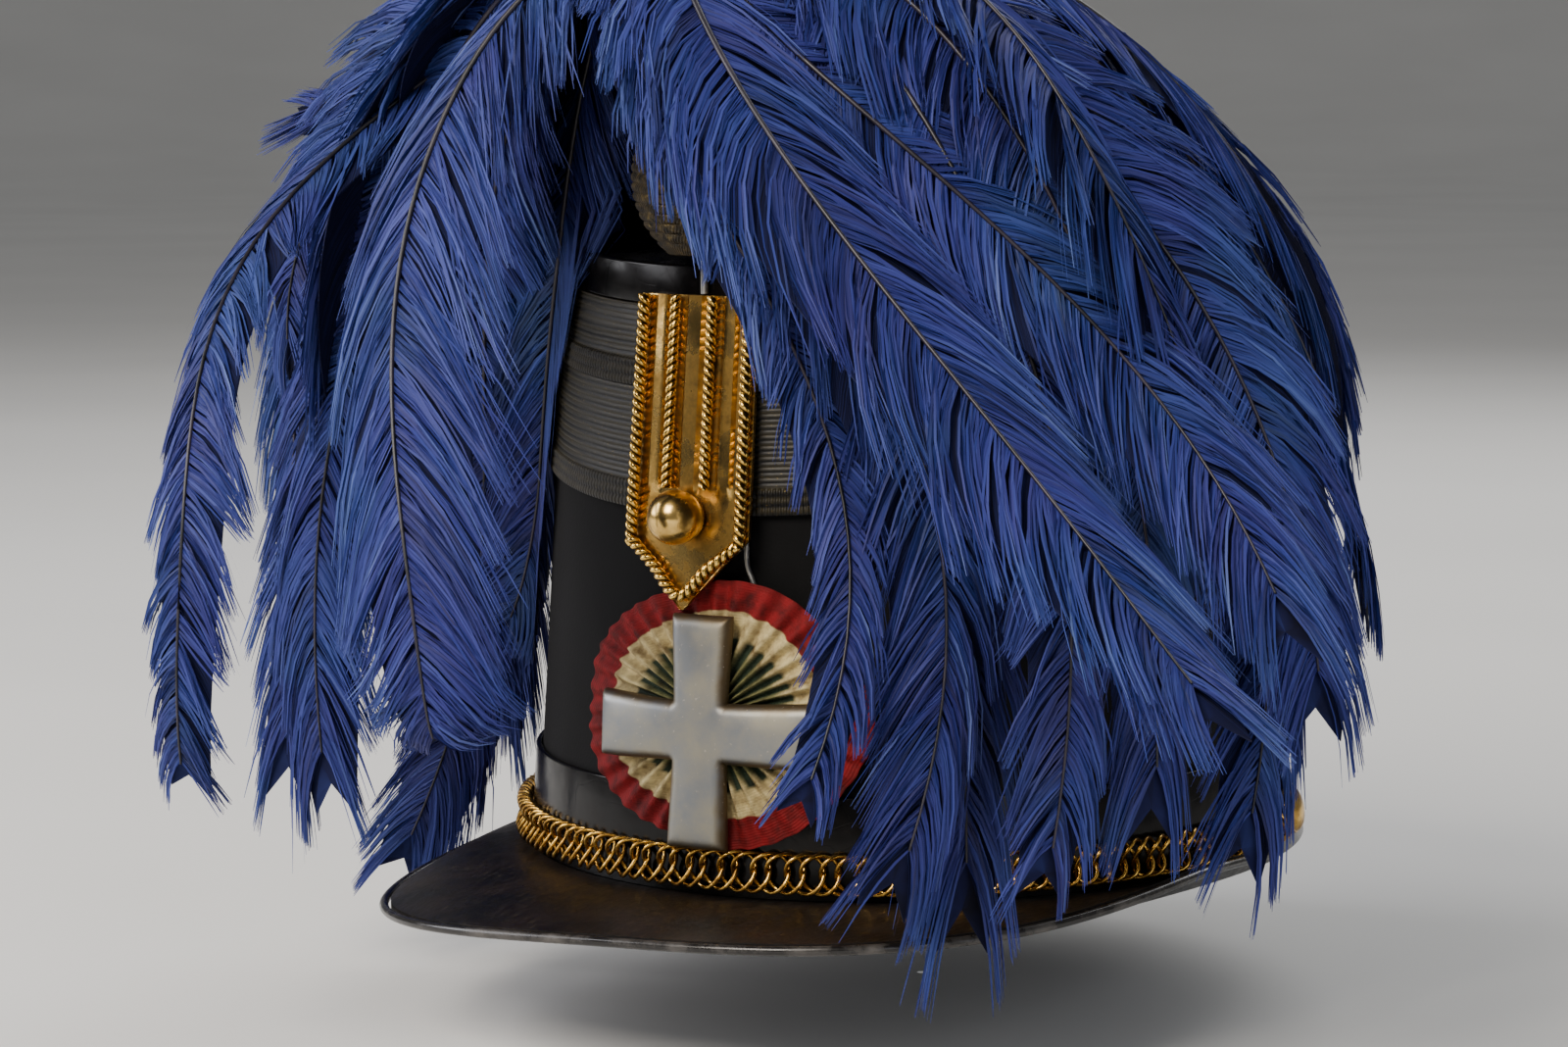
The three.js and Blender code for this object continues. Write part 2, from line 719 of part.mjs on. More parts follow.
function makePlume() {
  const foot = atFront(oliveSide, frontHeight, prongOffset);
  foot.z = oliveFoot + oliveHeight + seat;
  const head = new THREE.Vector3(headSide, foot.y, headHeight);
  const stem = [];
  const stemSides = 10;
  for (const share of [0, 0.35, 0.8, 1]) {
    const middle = foot.clone().lerp(head, share);
    const radius = headRadius * (share === 1 ? 0.7 : mix(0.5, 1, share));
    const ring = [];
    for (let side = 0; side < stemSides; side += 1) {
      const angle = (2 * Math.PI * side) / stemSides;
      const point = middle.clone();
      ring.push(point.add(new THREE.Vector3(radius * Math.cos(angle), radius * Math.sin(angle), 0)));
    }
    stem.push(ring);
  }
  const feathers = featherRows.map((values) => namedRow(featherColumns, values));
  for (const values of fanRows) {
    const fan = namedRow(fanColumns, values);
    for (let at = 0; at < fan.count; at += 1) {
      const bearing = mix(fan.from, fan.to, at / (fan.count - 1));
      const even = at % 2 === 0 ? 1 : 0.9;
      feathers.push({ ...fan, bearing, turn: 6, sway: 4 * (1 - 2 * (at % 2)), tip: fan.tip * even });
    }
  }
  let plume = manifold(skin(stem));
  for (const feather of feathers) {
    plume = plume.add(manifold(featherBlade(feather, head)));
  }
  add("plume", fromManifold(plume.simplify(plumeSliver)), "feather");
}

makeShell();
makeCrown();
makeLaces();
makeBaseBand();
makePeak();
makeChain();
makeLoopPlate();
makePlateWires();
makeBallButton();
makeHookWire();
makeCockade();
makeCross();
makeOlive();
makePlume();

export default group;
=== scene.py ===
"""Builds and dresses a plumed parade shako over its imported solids, in metres, front towards -Y."""
import logging
from dataclasses import dataclass, field
from enum import Enum

import bmesh
import bpy
import numpy as np
from mathutils import Matrix


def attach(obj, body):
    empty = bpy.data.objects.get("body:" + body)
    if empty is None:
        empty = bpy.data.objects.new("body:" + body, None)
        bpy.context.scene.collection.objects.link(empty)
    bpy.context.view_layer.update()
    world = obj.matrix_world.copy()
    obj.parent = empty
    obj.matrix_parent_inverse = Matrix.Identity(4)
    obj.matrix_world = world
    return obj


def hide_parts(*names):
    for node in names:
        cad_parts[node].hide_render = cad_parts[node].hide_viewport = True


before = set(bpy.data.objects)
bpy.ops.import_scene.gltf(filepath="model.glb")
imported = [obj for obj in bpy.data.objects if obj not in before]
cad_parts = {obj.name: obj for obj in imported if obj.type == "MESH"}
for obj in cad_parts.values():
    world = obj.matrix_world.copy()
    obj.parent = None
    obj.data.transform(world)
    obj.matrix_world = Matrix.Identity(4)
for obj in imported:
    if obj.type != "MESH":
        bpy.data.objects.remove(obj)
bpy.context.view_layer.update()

MM = 0.001
log = logging.getLogger("shako")


class Hand(Enum):
    """The two sides of a paired piece, as the sign of X."""

    LEFT = -1
    RIGHT = 1


class Slot(Enum):
    """The record's material slots."""

    VELVET = "black_velvet"
    PATENT = "patent_leather"
    LACE = "silk_lace"
    WORN = "worn_leather"
    GILT = "gilt_brass"
    WIRE = "gilt_wire"
    WHITE = "white_metal"
    RIBBON = "ribbon"
    WOUND = "wound_lace"
    FEATHER = "dyed_feather"


# ---- small sums ----


def linear(code: str) -> tuple[float, float, float, float]:
    """Turns an sRGB hex colour to linear light.

    Args:
        code: six hex digits with a leading hash.

    Returns:
        The linear red, green, blue and an alpha of one.
    """
    channels = [int(code[at:at + 2], 16) / 255 for at in (1, 3, 5)]
    light = [c / 12.92 if c <= 0.04045 else ((c + 0.055) / 1.055) ** 2.4 for c in channels]
    return (*light, 1.0)


def per_metre(size_mm: float) -> float:
    """Texture scale on coordinates in metres for a feature of this many millimetres."""
    return 1000.0 / size_mm


def per_band(size_mm: float) -> float:
    """Wave texture scale on a UV in centimetres for bands this many millimetres apart."""
    return 10.0 / size_mm / 3.1831


def mix(low: np.ndarray, high: np.ndarray, share: np.ndarray) -> np.ndarray:
    """Straight blend from low to high."""
    return low + (high - low) * share


def smooth(value: np.ndarray) -> np.ndarray:
    """Smooth step: 3v squared less 2v cubed, held between 0 and 1."""
    held = np.clip(value, 0.0, 1.0)
    return held * held * (3 - 2 * held)


def unit(vectors: np.ndarray) -> np.ndarray:
    """Vectors along the last axis brought to length one."""
    return vectors / np.maximum(np.linalg.norm(vectors, axis=-1, keepdims=True), 1e-12)


def circle(count: int, closed: bool = False) -> np.ndarray:
    """Angles that part a full turn evenly, with the full turn itself at the end if closed."""
    return 2 * np.pi * np.arange(count + closed) / count


def run_along(path: np.ndarray) -> np.ndarray:
    """Distance along a path from its start to each of its points."""
    return np.concatenate([[0], np.cumsum(np.linalg.norm(np.diff(path, axis=0), axis=1))])


def with_caps(rows: np.ndarray) -> np.ndarray:
    """Closed sections with one more at each end, drawn in to the middle of the end section."""
    ends = [np.repeat(rows[end].mean(axis=0)[None, None], rows.shape[1], axis=1) for end in (0, -1)]
    return np.concatenate([ends[0], rows, ends[1]])


def flow(points: np.ndarray, count: int) -> np.ndarray:
    """Carries a smooth path through a few points, evenly spaced along its length.

    Each stretch is the Catmull-Rom cubic of its two ends and their neighbours.

    Args:
        points: the few points, one row each.
        count: how many points to return.

    Returns:
        The path as count rows.
    """
    padded = np.vstack([2 * points[0] - points[1], points, 2 * points[-1] - points[-2]])
    place = np.linspace(0, len(points) - 1 - 1e-9, 24 * len(points))
    at = place.astype(int)
    t = (place - at)[:, None]
    a, b, c, d = (padded[at + k] for k in range(4))
    fine = 0.5 * (2 * b + (c - a) * t + (2 * a - 5 * b + 4 * c - d) * t**2 + (3 * b - a - 3 * c + d) * t**3)
    run = run_along(fine)
    even = np.linspace(0, run[-1], count)
    return np.stack([np.interp(even, run, fine[:, axis]) for axis in range(3)], axis=1)


# ---- meshes from arrays ----


def mesh_piece(name: str, points: np.ndarray, faces: np.ndarray, uv: np.ndarray | None = None) -> bpy.types.Object:
    """Puts whole arrays into a new mesh object.

    Args:
        name: the piece's name.
        points: corner places, one row each.
        faces: corner numbers, one row for each face.
        uv: texture places for each face corner, or None.

    Returns:
        The linked object, at the origin.
    """
    mesh = bpy.data.meshes.new(name)
    sides = faces.shape[1]
    mesh.vertices.add(len(points))
    mesh.vertices.foreach_set("co", np.asarray(points, np.float32).ravel())
    mesh.loops.add(faces.size)
    mesh.loops.foreach_set("vertex_index", np.asarray(faces, np.int32).ravel())
    mesh.polygons.add(len(faces))
    mesh.polygons.foreach_set("loop_start", np.arange(0, faces.size, sides, dtype=np.int32))
    mesh.polygons.foreach_set("use_smooth", np.ones(len(faces), bool))
    if uv is not None:
        layer = mesh.uv_layers.new(name="run")
        layer.data.foreach_set("uv", np.asarray(uv, np.float32).ravel())
    mesh.update(calc_edges=True)
    mesh.validate()
    piece = bpy.data.objects.new(name, mesh)
    bpy.context.scene.collection.objects.link(piece)
    return piece


def grid_faces(rows: int, cols: int, wrap_rows: bool, wrap_cols: bool) -> tuple[np.ndarray, np.ndarray, np.ndarray]:
    """Numbers the four-sided faces of a grid.

    Args:
        rows: rows of points.
        cols: points in a row.
        wrap_rows: whether the last row joins the first.
        wrap_cols: whether each row closes on itself.

    Returns:
        Corner numbers, and the rows and columns of those corners before wrapping.
    """
    row, col = np.meshgrid(
        np.arange(rows if wrap_rows else rows - 1), np.arange(cols if wrap_cols else cols - 1), indexing="ij"
    )
    corner_rows = np.stack([row, row, row + 1, row + 1], -1).reshape(-1, 4)
    corner_cols = np.stack([col, col + 1, col + 1, col], -1).reshape(-1, 4)
    return (corner_rows % rows) * cols + corner_cols % cols, corner_rows, corner_cols


def tidy_mesh(piece: bpy.types.Object, crease: float = 38.0) -> bpy.types.Object:
    """Merges doubled corners, turns the faces outwards and creases sharp edges.

    Args:
        piece: the object to finish.
        crease: the angle in degrees past which an edge stays sharp.

    Returns:
        The same object.
    """
    work = bmesh.new()
    work.from_mesh(piece.data)
    bmesh.ops.remove_doubles(work, verts=work.verts, dist=2e-6)
    bmesh.ops.dissolve_degenerate(work, edges=work.edges, dist=1e-7)
    bmesh.ops.recalc_face_normals(work, faces=work.faces)
    if work.calc_volume(signed=True) < 0:
        bmesh.ops.reverse_faces(work, faces=work.faces)
    work.to_mesh(piece.data)
    work.free()
    piece.data.set_sharp_from_angle(angle=np.radians(crease))
    return piece


def skin(
    name: str,
    points: np.ndarray,
    uv: np.ndarray | None = None,
    wrap_rows: bool = False,
    crease: float = 38.0,
) -> bpy.types.Object:
    """Skins closed sections, or a grid that closes both ways, as one solid.

    Args:
        name: the piece's name.
        points: rows of closed sections, as rows by columns by three.
        uv: texture places for rows and columns, one more each where the grid wraps.
        wrap_rows: whether the last section joins the first; if not, both ends are drawn in to a point.
        crease: the angle in degrees past which an edge stays sharp.

    Returns:
        The finished object.
    """
    if not wrap_rows:
        points = with_caps(points)
        uv = None if uv is None else np.concatenate([uv[:1], uv, uv[-1:]])
    rows, cols = points.shape[:2]
    faces, corner_rows, corner_cols = grid_faces(rows, cols, wrap_rows, True)
    corner_uv = None if uv is None else uv[corner_rows, corner_cols]
    return tidy_mesh(mesh_piece(name, points.reshape(-1, 3), faces, corner_uv), crease)


def tube_rows(path: np.ndarray, radius: np.ndarray | float, sides: int, hint: np.ndarray) -> np.ndarray:
    """Carries a round section along a path.

    The section lies square to the path, its zero angle along the path's cross product with hint.

    Args:
        path: points along the middle.
        radius: one radius, one for each point, or one for each point and side.
        sides: corners in the section.
        hint: a direction that is never along the path, one row or one for each point.

    Returns:
        Points as path points by sides by three.
    """
    along = unit(np.gradient(path, axis=0))
    aside = unit(np.cross(along, np.broadcast_to(hint, path.shape)))
    above = np.cross(aside, along)
    angle = circle(sides)
    size = np.broadcast_to(np.asarray(radius, float).reshape(-1, 1) if np.ndim(radius) < 2 else radius,
                           (len(path), sides))[..., None]
    ring = aside[:, None] * np.cos(angle)[:, None] + above[:, None] * np.sin(angle)[:, None]
    return path[:, None] + size * ring


def place(piece: bpy.types.Object, finish: "Finish", slot: Slot, *nodes: str) -> bpy.types.Object:
    """Gives a piece its finish, its body and the solids it stands for, and reports it.

    Args:
        piece: the object to dress.
        finish: the finish whose material it wears.
        slot: not used.
        nodes: names of the solids that it stands for.

    Returns:
        The same object.
    """
    piece.data.materials.clear()
    piece.data.materials.append(finish.material())
    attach(piece, "root")
    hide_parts(*nodes)
    area = sum(polygon.area for polygon in piece.data.polygons)
    log.info("%s: %d faces, %.4f m2, for %s", piece.name, len(piece.data.polygons), area, ", ".join(nodes))
    return piece


# ---- finishes ----


def set_inputs(tree: bpy.types.NodeTree, node: bpy.types.Node, inputs: dict) -> None:
    """Sets or links a node's inputs.

    Args:
        tree: the material's node tree.
        node: the node.
        inputs: values by socket name or number; an output socket is linked instead.
    """
    for key, value in inputs.items():
        if isinstance(value, bpy.types.NodeSocket):
            tree.links.new(value, node.inputs[key])
        else:
            node.inputs[key].default_value = value


def add_node(tree: bpy.types.NodeTree, kind: str, inputs: dict | None = None, **settings: object) -> bpy.types.Node:
    """Adds a node with its settings and links.

    Args:
        tree: the material's node tree.
        kind: the node's type name after ShaderNode.
        inputs: its inputs, as for set_inputs.
        **settings: attributes to set; stops is a ramp's list of places and hex colours.

    Returns:
        The new node.
    """
    node = tree.nodes.new("ShaderNode" + kind)
    for key, value in settings.items():
        if key == "stops":
            ramp = node.color_ramp
            while len(ramp.elements) < len(value):
                ramp.elements.new(0.5)
            for element, (at, colour) in zip(ramp.elements, value):
                element.position = at
                element.color = linear(colour)
        else:
            setattr(node, key, value)
    set_inputs(tree, node, inputs or {})
    return node


@dataclass(frozen=True)
class Finish:
    """A surface: what it is made of and how that looks."""

    name: str

    def material(self) -> bpy.types.Material:
        """Makes the material the first time it is asked for.

        Returns:
            The material.
        """
        made = bpy.data.materials.get(self.name)
        if made is None:
            made = bpy.data.materials.new(self.name)
            made.use_nodes = True
            made.node_tree.nodes.clear()
            shader = add_node(made.node_tree, "BsdfPrincipled")
            add_node(made.node_tree, "OutputMaterial", {"Surface": shader.outputs["BSDF"]})
            self.paint(made.node_tree, shader)
        return made

    def paint(self, tree: bpy.types.NodeTree, shader: bpy.types.Node) -> None:
        """Adds the nodes of this surface; each finish has its own.

        Args:
            tree: the material's node tree.
            shader: its surface shader.
        """
        raise NotImplementedError


@dataclass(frozen=True)
class SilkVelvet(Finish):
    """Black silk velvet, cut pile: nearly no light square on, a faint violet bloom where it turns away."""

    name: str = "silk velvet, cut pile"
    deep: str = "#020203"
    brushed: str = "#070709"
    bloom: str = "#6d6880"

    def paint(self, tree: bpy.types.NodeTree, shader: bpy.types.Node) -> None:
        """Brushed patches of pile 14 mm across, over a pile grain drawn at 0.7 mm so that it shows.

        Args:
            tree: the material's node tree.
            shader: its surface shader.
        """
        where = add_node(tree, "TexCoord").outputs["Object"]
        patch = add_node(tree, "TexNoise", {"Vector": where, "Scale": per_metre(14), "Detail": 4.0})
        tone = add_node(tree, "ValToRGB", {"Fac": patch.outputs["Fac"]},
                        stops=[(0.35, self.deep), (0.7, self.brushed)])
        pile = add_node(tree, "TexNoise", {"Vector": where, "Scale": per_metre(0.7), "Detail": 2.0})
        bump = add_node(tree, "Bump", {"Height": pile.outputs["Fac"], "Strength": 0.5, "Distance": 0.15 * MM})
        set_inputs(tree, shader, {"Base Color": tone.outputs["Color"], "Normal": bump.outputs["Normal"],
                                  "Roughness": 0.9, "Specular IOR Level": 0.25, "Sheen Weight": 0.05,
                                  "Sheen Roughness": 0.35, "Sheen Tint": linear(self.bloom)})


@dataclass(frozen=True)
class PatentLeather(Finish):
    """Lacquered calf leather: a black mirror with soft waves, dulled and finely cracked by age."""

    name: str = "lacquered calf leather"
    dark: str = "#080707"
    rubbed: str = "#151110"
    dull: float = 0.3
    shine: float = 0.18

    def paint(self, tree: bpy.types.NodeTree, shader: bpy.types.Node) -> None:
        """Rubbed patches of 9 mm, cracks in cells of 5 mm and a slow wave of 11 mm in the lacquer.

        Args:
            tree: the material's node tree.
            shader: its surface shader.
        """
        where = add_node(tree, "TexCoord").outputs["Object"]
        rub = add_node(tree, "TexNoise", {"Vector": where, "Scale": per_metre(9), "Detail": 7.0, "Roughness": 0.65})
        tone = add_node(tree, "ValToRGB", {"Fac": rub.outputs["Fac"]},
                        stops=[(0.45, self.dark), (0.78, self.rubbed)])
        gloss = add_node(tree, "MapRange",
                         {"Value": rub.outputs["Fac"], "From Min": 0.3, "From Max": 0.75, "To Min": 0.12,
                          "To Max": self.dull})
        wave = add_node(tree, "TexNoise", {"Vector": where, "Scale": per_metre(11), "Detail": 2.0})
        crack = add_node(tree, "TexVoronoi", {"Vector": where, "Scale": per_metre(5)}, feature="DISTANCE_TO_EDGE")
        line = add_node(tree, "MapRange",
                        {"Value": crack.outputs["Distance"], "From Min": 0.0, "From Max": 0.03, "To Min": 0.0,
                         "To Max": 1.0})
        low = add_node(tree, "Bump", {"Height": wave.outputs["Fac"], "Strength": 0.25, "Distance": 0.6 * MM})
        fine = add_node(tree, "Bump",
                        {"Height": line.outputs["Result"], "Strength": 0.12, "Distance": 0.06 * MM,
                         "Normal": low.outputs["Normal"]})
        set_inputs(tree, shader, {"Base Color": tone.outputs["Color"], "Roughness": gloss.outputs["Result"],
                                  "Normal": fine.outputs["Normal"], "Specular IOR Level": self.shine})


@dataclass(frozen=True)
class WornLeather(Finish):
    """Waxed cowhide peak: black-brown, satin, scuffed to bare brown along fine creases."""

    name: str = "waxed cowhide, scuffed"
    black: str = "#080605"
    brown: str = "#1f1712"
    scuff: str = "#574a3d"

    def paint(self, tree: bpy.types.NodeTree, shader: bpy.types.Node) -> None:
        """Brown showing through in 16 mm clouds, scuffs 1.4 mm wide drawn long, pores of 0.8 mm.

        Args:
            tree: the material's node tree.
            shader: its surface shader.
        """
        where = add_node(tree, "TexCoord").outputs["Object"]
        cloud = add_node(tree, "TexNoise",
                         {"Vector": where, "Scale": per_metre(16), "Detail": 8.0, "Roughness": 0.62})
        base = add_node(tree, "ValToRGB", {"Fac": cloud.outputs["Fac"]},
                        stops=[(0.4, self.black), (0.66, self.brown)])
        along = add_node(tree, "Mapping", {"Vector": where, "Scale": (1.0, 0.35, 1.0)})
        mark = add_node(tree, "TexNoise",
                        {"Vector": along.outputs["Vector"], "Scale": per_metre(1.4), "Detail": 6.0,
                         "Roughness": 0.7})
        bare = add_node(tree, "MapRange",
                        {"Value": mark.outputs["Fac"], "From Min": 0.62, "From Max": 0.76, "To Min": 0.0,
                         "To Max": 0.55})
        colour = add_node(tree, "Mix", {0: bare.outputs["Result"], 6: base.outputs["Color"], 7: linear(self.scuff)},
                          data_type="RGBA")
        gloss = add_node(tree, "MapRange",
                         {"Value": mark.outputs["Fac"], "From Min": 0.3, "From Max": 0.75, "To Min": 0.27,
                          "To Max": 0.6})
        pore = add_node(tree, "TexVoronoi", {"Vector": where, "Scale": per_metre(0.8)})
        low = add_node(tree, "Bump", {"Height": cloud.outputs["Fac"], "Strength": 0.35, "Distance": 0.8 * MM})
        fine = add_node(tree, "Bump",
                        {"Height": pore.outputs["Distance"], "Strength": 0.2, "Distance": 0.1 * MM,
                         "Normal": low.outputs["Normal"]})
        set_inputs(tree, shader, {"Base Color": colour.outputs[2], "Roughness": gloss.outputs["Result"],
                                  "Normal": fine.outputs["Normal"]})


@dataclass(frozen=True)
class FireGilt(Finish):
    """Fire-gilt brass: warm yellow where it is touched, brown tarnish in patches, and on wires darker towards the
    grooves.
    """

    name: str = "fire-gilt brass"
    bright: str = "#e2bd70"
    middle: str = "#bd9650"
    tarnish: str = "#5f4a28"
    patch_mm: float = 7.0
    dull: float = 0.42
    grooves: bool = False

    def paint(self, tree: bpy.types.NodeTree, shader: bpy.types.Node) -> None:
        """Tarnish in clouds of the patch size; on wires also darker and rougher towards the grooves, which the UV's
        first number gives.

        Args:
            tree: the material's node tree.
            shader: its surface shader.
        """
        coordinates = add_node(tree, "TexCoord")
        where = coordinates.outputs["Object"]
        cloud = add_node(tree, "TexNoise",
                         {"Vector": where, "Scale": per_metre(self.patch_mm), "Detail": 6.0, "Roughness": 0.6})
        level = cloud.outputs["Fac"]
        if self.grooves:
            split = add_node(tree, "SeparateXYZ", {"Vector": coordinates.outputs["UV"]})
            groove = add_node(tree, "Math", {0: split.outputs["X"], 1: 0.55, 2: -0.12}, operation="MULTIPLY_ADD")
            both = add_node(tree, "Math", {0: level, 1: 0.5, 2: groove.outputs["Value"]}, operation="MULTIPLY_ADD")
            level = both.outputs["Value"]
        tone = add_node(tree, "ValToRGB", {"Fac": level},
                        stops=[(0.3, self.tarnish), (0.47, self.middle), (0.62, self.bright)])
        gloss = add_node(tree, "MapRange",
                         {"Value": level, "From Min": 0.3, "From Max": 0.62, "To Min": self.dull, "To Max": 0.2})
        grit = add_node(tree, "TexNoise", {"Vector": where, "Scale": per_metre(1.1), "Detail": 4.0})
        bump = add_node(tree, "Bump", {"Height": grit.outputs["Fac"], "Strength": 0.25, "Distance": 0.08 * MM})
        set_inputs(tree, shader, {"Base Color": tone.outputs["Color"], "Roughness": gloss.outputs["Result"],
                                  "Normal": bump.outputs["Normal"], "Metallic": 1.0})


@dataclass(frozen=True)
class WhiteMetal(Finish):
    """Stamped white metal, once silvered: soft grey, warm brown at the edges as tarnish and painted shade of the
    bevels, pricked with pale specks.
    """

    name: str = "stamped white metal"
    grey: str = "#9b978a"
    cool: str = "#84878a"
    # warm: tarnish brown that also serves as painted shade on the bevelled edges.
    warm: str = "#634f2e"
    rough: float = 0.4
    pale: str = "#c9bfae"

    def paint(self, tree: bpy.types.NodeTree, shader: bpy.types.Node) -> None:
        """Warm brown towards the edge, which the UV's first number gives, as stain and painted shade of the bevels,
        and specks 0.9 mm across.

        Args:
            tree: the material's node tree.
            shader: its surface shader.
        """
        coordinates = add_node(tree, "TexCoord")
        where = coordinates.outputs["Object"]
        split = add_node(tree, "SeparateXYZ", {"Vector": coordinates.outputs["UV"]})
        cloud = add_node(tree, "TexNoise", {"Vector": where, "Scale": per_metre(8), "Detail": 7.0, "Roughness": 0.6})
        base = add_node(tree, "ValToRGB", {"Fac": cloud.outputs["Fac"]},
                        stops=[(0.35, self.cool), (0.65, self.grey)])
        # Stain with painted shade: warm brown where the UV's first number nears the edge.
        edge = add_node(tree, "Math", {0: cloud.outputs["Fac"], 1: 1.1, 2: split.outputs["X"]},
                        operation="MULTIPLY_ADD")
        stain_and_edge_shade = add_node(tree, "MapRange",
                         {"Value": edge.outputs["Value"], "From Min": 0.75, "From Max": 1.4, "To Min": 0.0,
                          "To Max": 0.85})
        stained_and_shaded = add_node(tree, "Mix", {0: stain_and_edge_shade.outputs["Result"], 6: base.outputs["Color"], 7: linear(self.warm)},
                           data_type="RGBA")
        speck = add_node(tree, "TexNoise", {"Vector": where, "Scale": per_metre(0.9), "Detail": 2.0})
        dot = add_node(tree, "MapRange",
                       {"Value": speck.outputs["Fac"], "From Min": 0.68, "From Max": 0.76, "To Min": 0.0,
                        "To Max": 0.5})
        colour = add_node(tree, "Mix", {0: dot.outputs["Result"], 6: stained_and_shaded.outputs[2], 7: linear(self.pale)},
                          data_type="RGBA")
        gloss = add_node(tree, "MapRange",
                         {"Value": cloud.outputs["Fac"], "From Min": 0.3, "From Max": 0.7, "To Min": self.rough,
                          "To Max": self.rough + 0.14})
        bump = add_node(tree, "Bump", {"Height": cloud.outputs["Fac"], "Strength": 0.3, "Distance": 0.3 * MM})
        set_inputs(tree, shader, {"Base Color": colour.outputs[2], "Roughness": gloss.outputs["Result"],
                                  "Normal": bump.outputs["Normal"], "Metallic": 0.85})


@dataclass(frozen=True)
class SilkLace(Finish):
    """Black silk lace woven with gilt thread gone olive: dull ribs, a beaded border, scattered glints."""

    name: str = "silk and gilt thread lace"
    silk: str = "#08080a"
    thread: str = "#2b2618"
    glint: str = "#9c8650"

    def paint(self, tree: bpy.types.NodeTree, shader: bpy.types.Node) -> None:
        """On a UV in centimetres round and up: 1.2 mm ribs, silk and gilt in turn, and a 6 mm border of 1.3 mm beads.

        Args:
            tree: the material's node tree.
            shader: its surface shader.
        """
        runs = add_node(tree, "TexCoord").outputs["UV"]
        split = add_node(tree, "SeparateXYZ", {"Vector": runs})
        beads = add_node(tree, "TexWave", {"Vector": runs, "Scale": per_band(1.3), "Distortion": 0.6, "Detail": 1.0},
                         wave_type="BANDS", bands_direction="X")
        border = add_node(tree, "MapRange",
                          {"Value": split.outputs["Y"], "From Min": 0.58, "From Max": 0.62, "To Min": 1.0,
                           "To Max": 0.0})
        stretch = add_node(tree, "Mapping", {"Vector": runs, "Scale": (9.0, 26.0, 1.0)})
        fleck = add_node(tree, "TexNoise", {"Vector": stretch.outputs["Vector"], "Scale": 1.0, "Detail": 3.0})
        shine = add_node(tree, "MapRange",
                         {"Value": fleck.outputs["Fac"], "From Min": 0.64, "From Max": 0.78, "To Min": 0.0,
                          "To Max": 0.8})
        ribs = add_node(tree, "TexWave", {"Vector": runs, "Scale": per_band(2.4), "Distortion": 0.3},
                        wave_type="BANDS", bands_direction="Y")
        base = add_node(tree, "Mix", {0: ribs.outputs["Fac"], 6: linear(self.silk), 7: linear(self.thread)},
                        data_type="RGBA")
        colour = add_node(tree, "Mix", {0: shine.outputs["Result"], 6: base.outputs[2], 7: linear(self.glint)},
                          data_type="RGBA")
        height = add_node(tree, "Math", {0: beads.outputs["Fac"], 1: border.outputs["Result"]},
                          operation="MULTIPLY")
        weave = add_node(tree, "Mapping", {"Vector": runs, "Scale": (24.0, 12.0, 1.0)})
        grain = add_node(tree, "TexNoise", {"Vector": weave.outputs["Vector"], "Scale": 1.0, "Detail": 2.0})
        low = add_node(tree, "Bump", {"Height": height.outputs["Value"], "Strength": 0.9, "Distance": 0.4 * MM})
        fine = add_node(tree, "Bump",
                        {"Height": grain.outputs["Fac"], "Strength": 0.5, "Distance": 0.12 * MM,
                         "Normal": low.outputs["Normal"]})
        set_inputs(tree, shader, {"Base Color": colour.outputs[2], "Metallic": shine.outputs["Result"],
                                  "Normal": fine.outputs["Normal"], "Roughness": 0.5, "Specular IOR Level": 0.4})


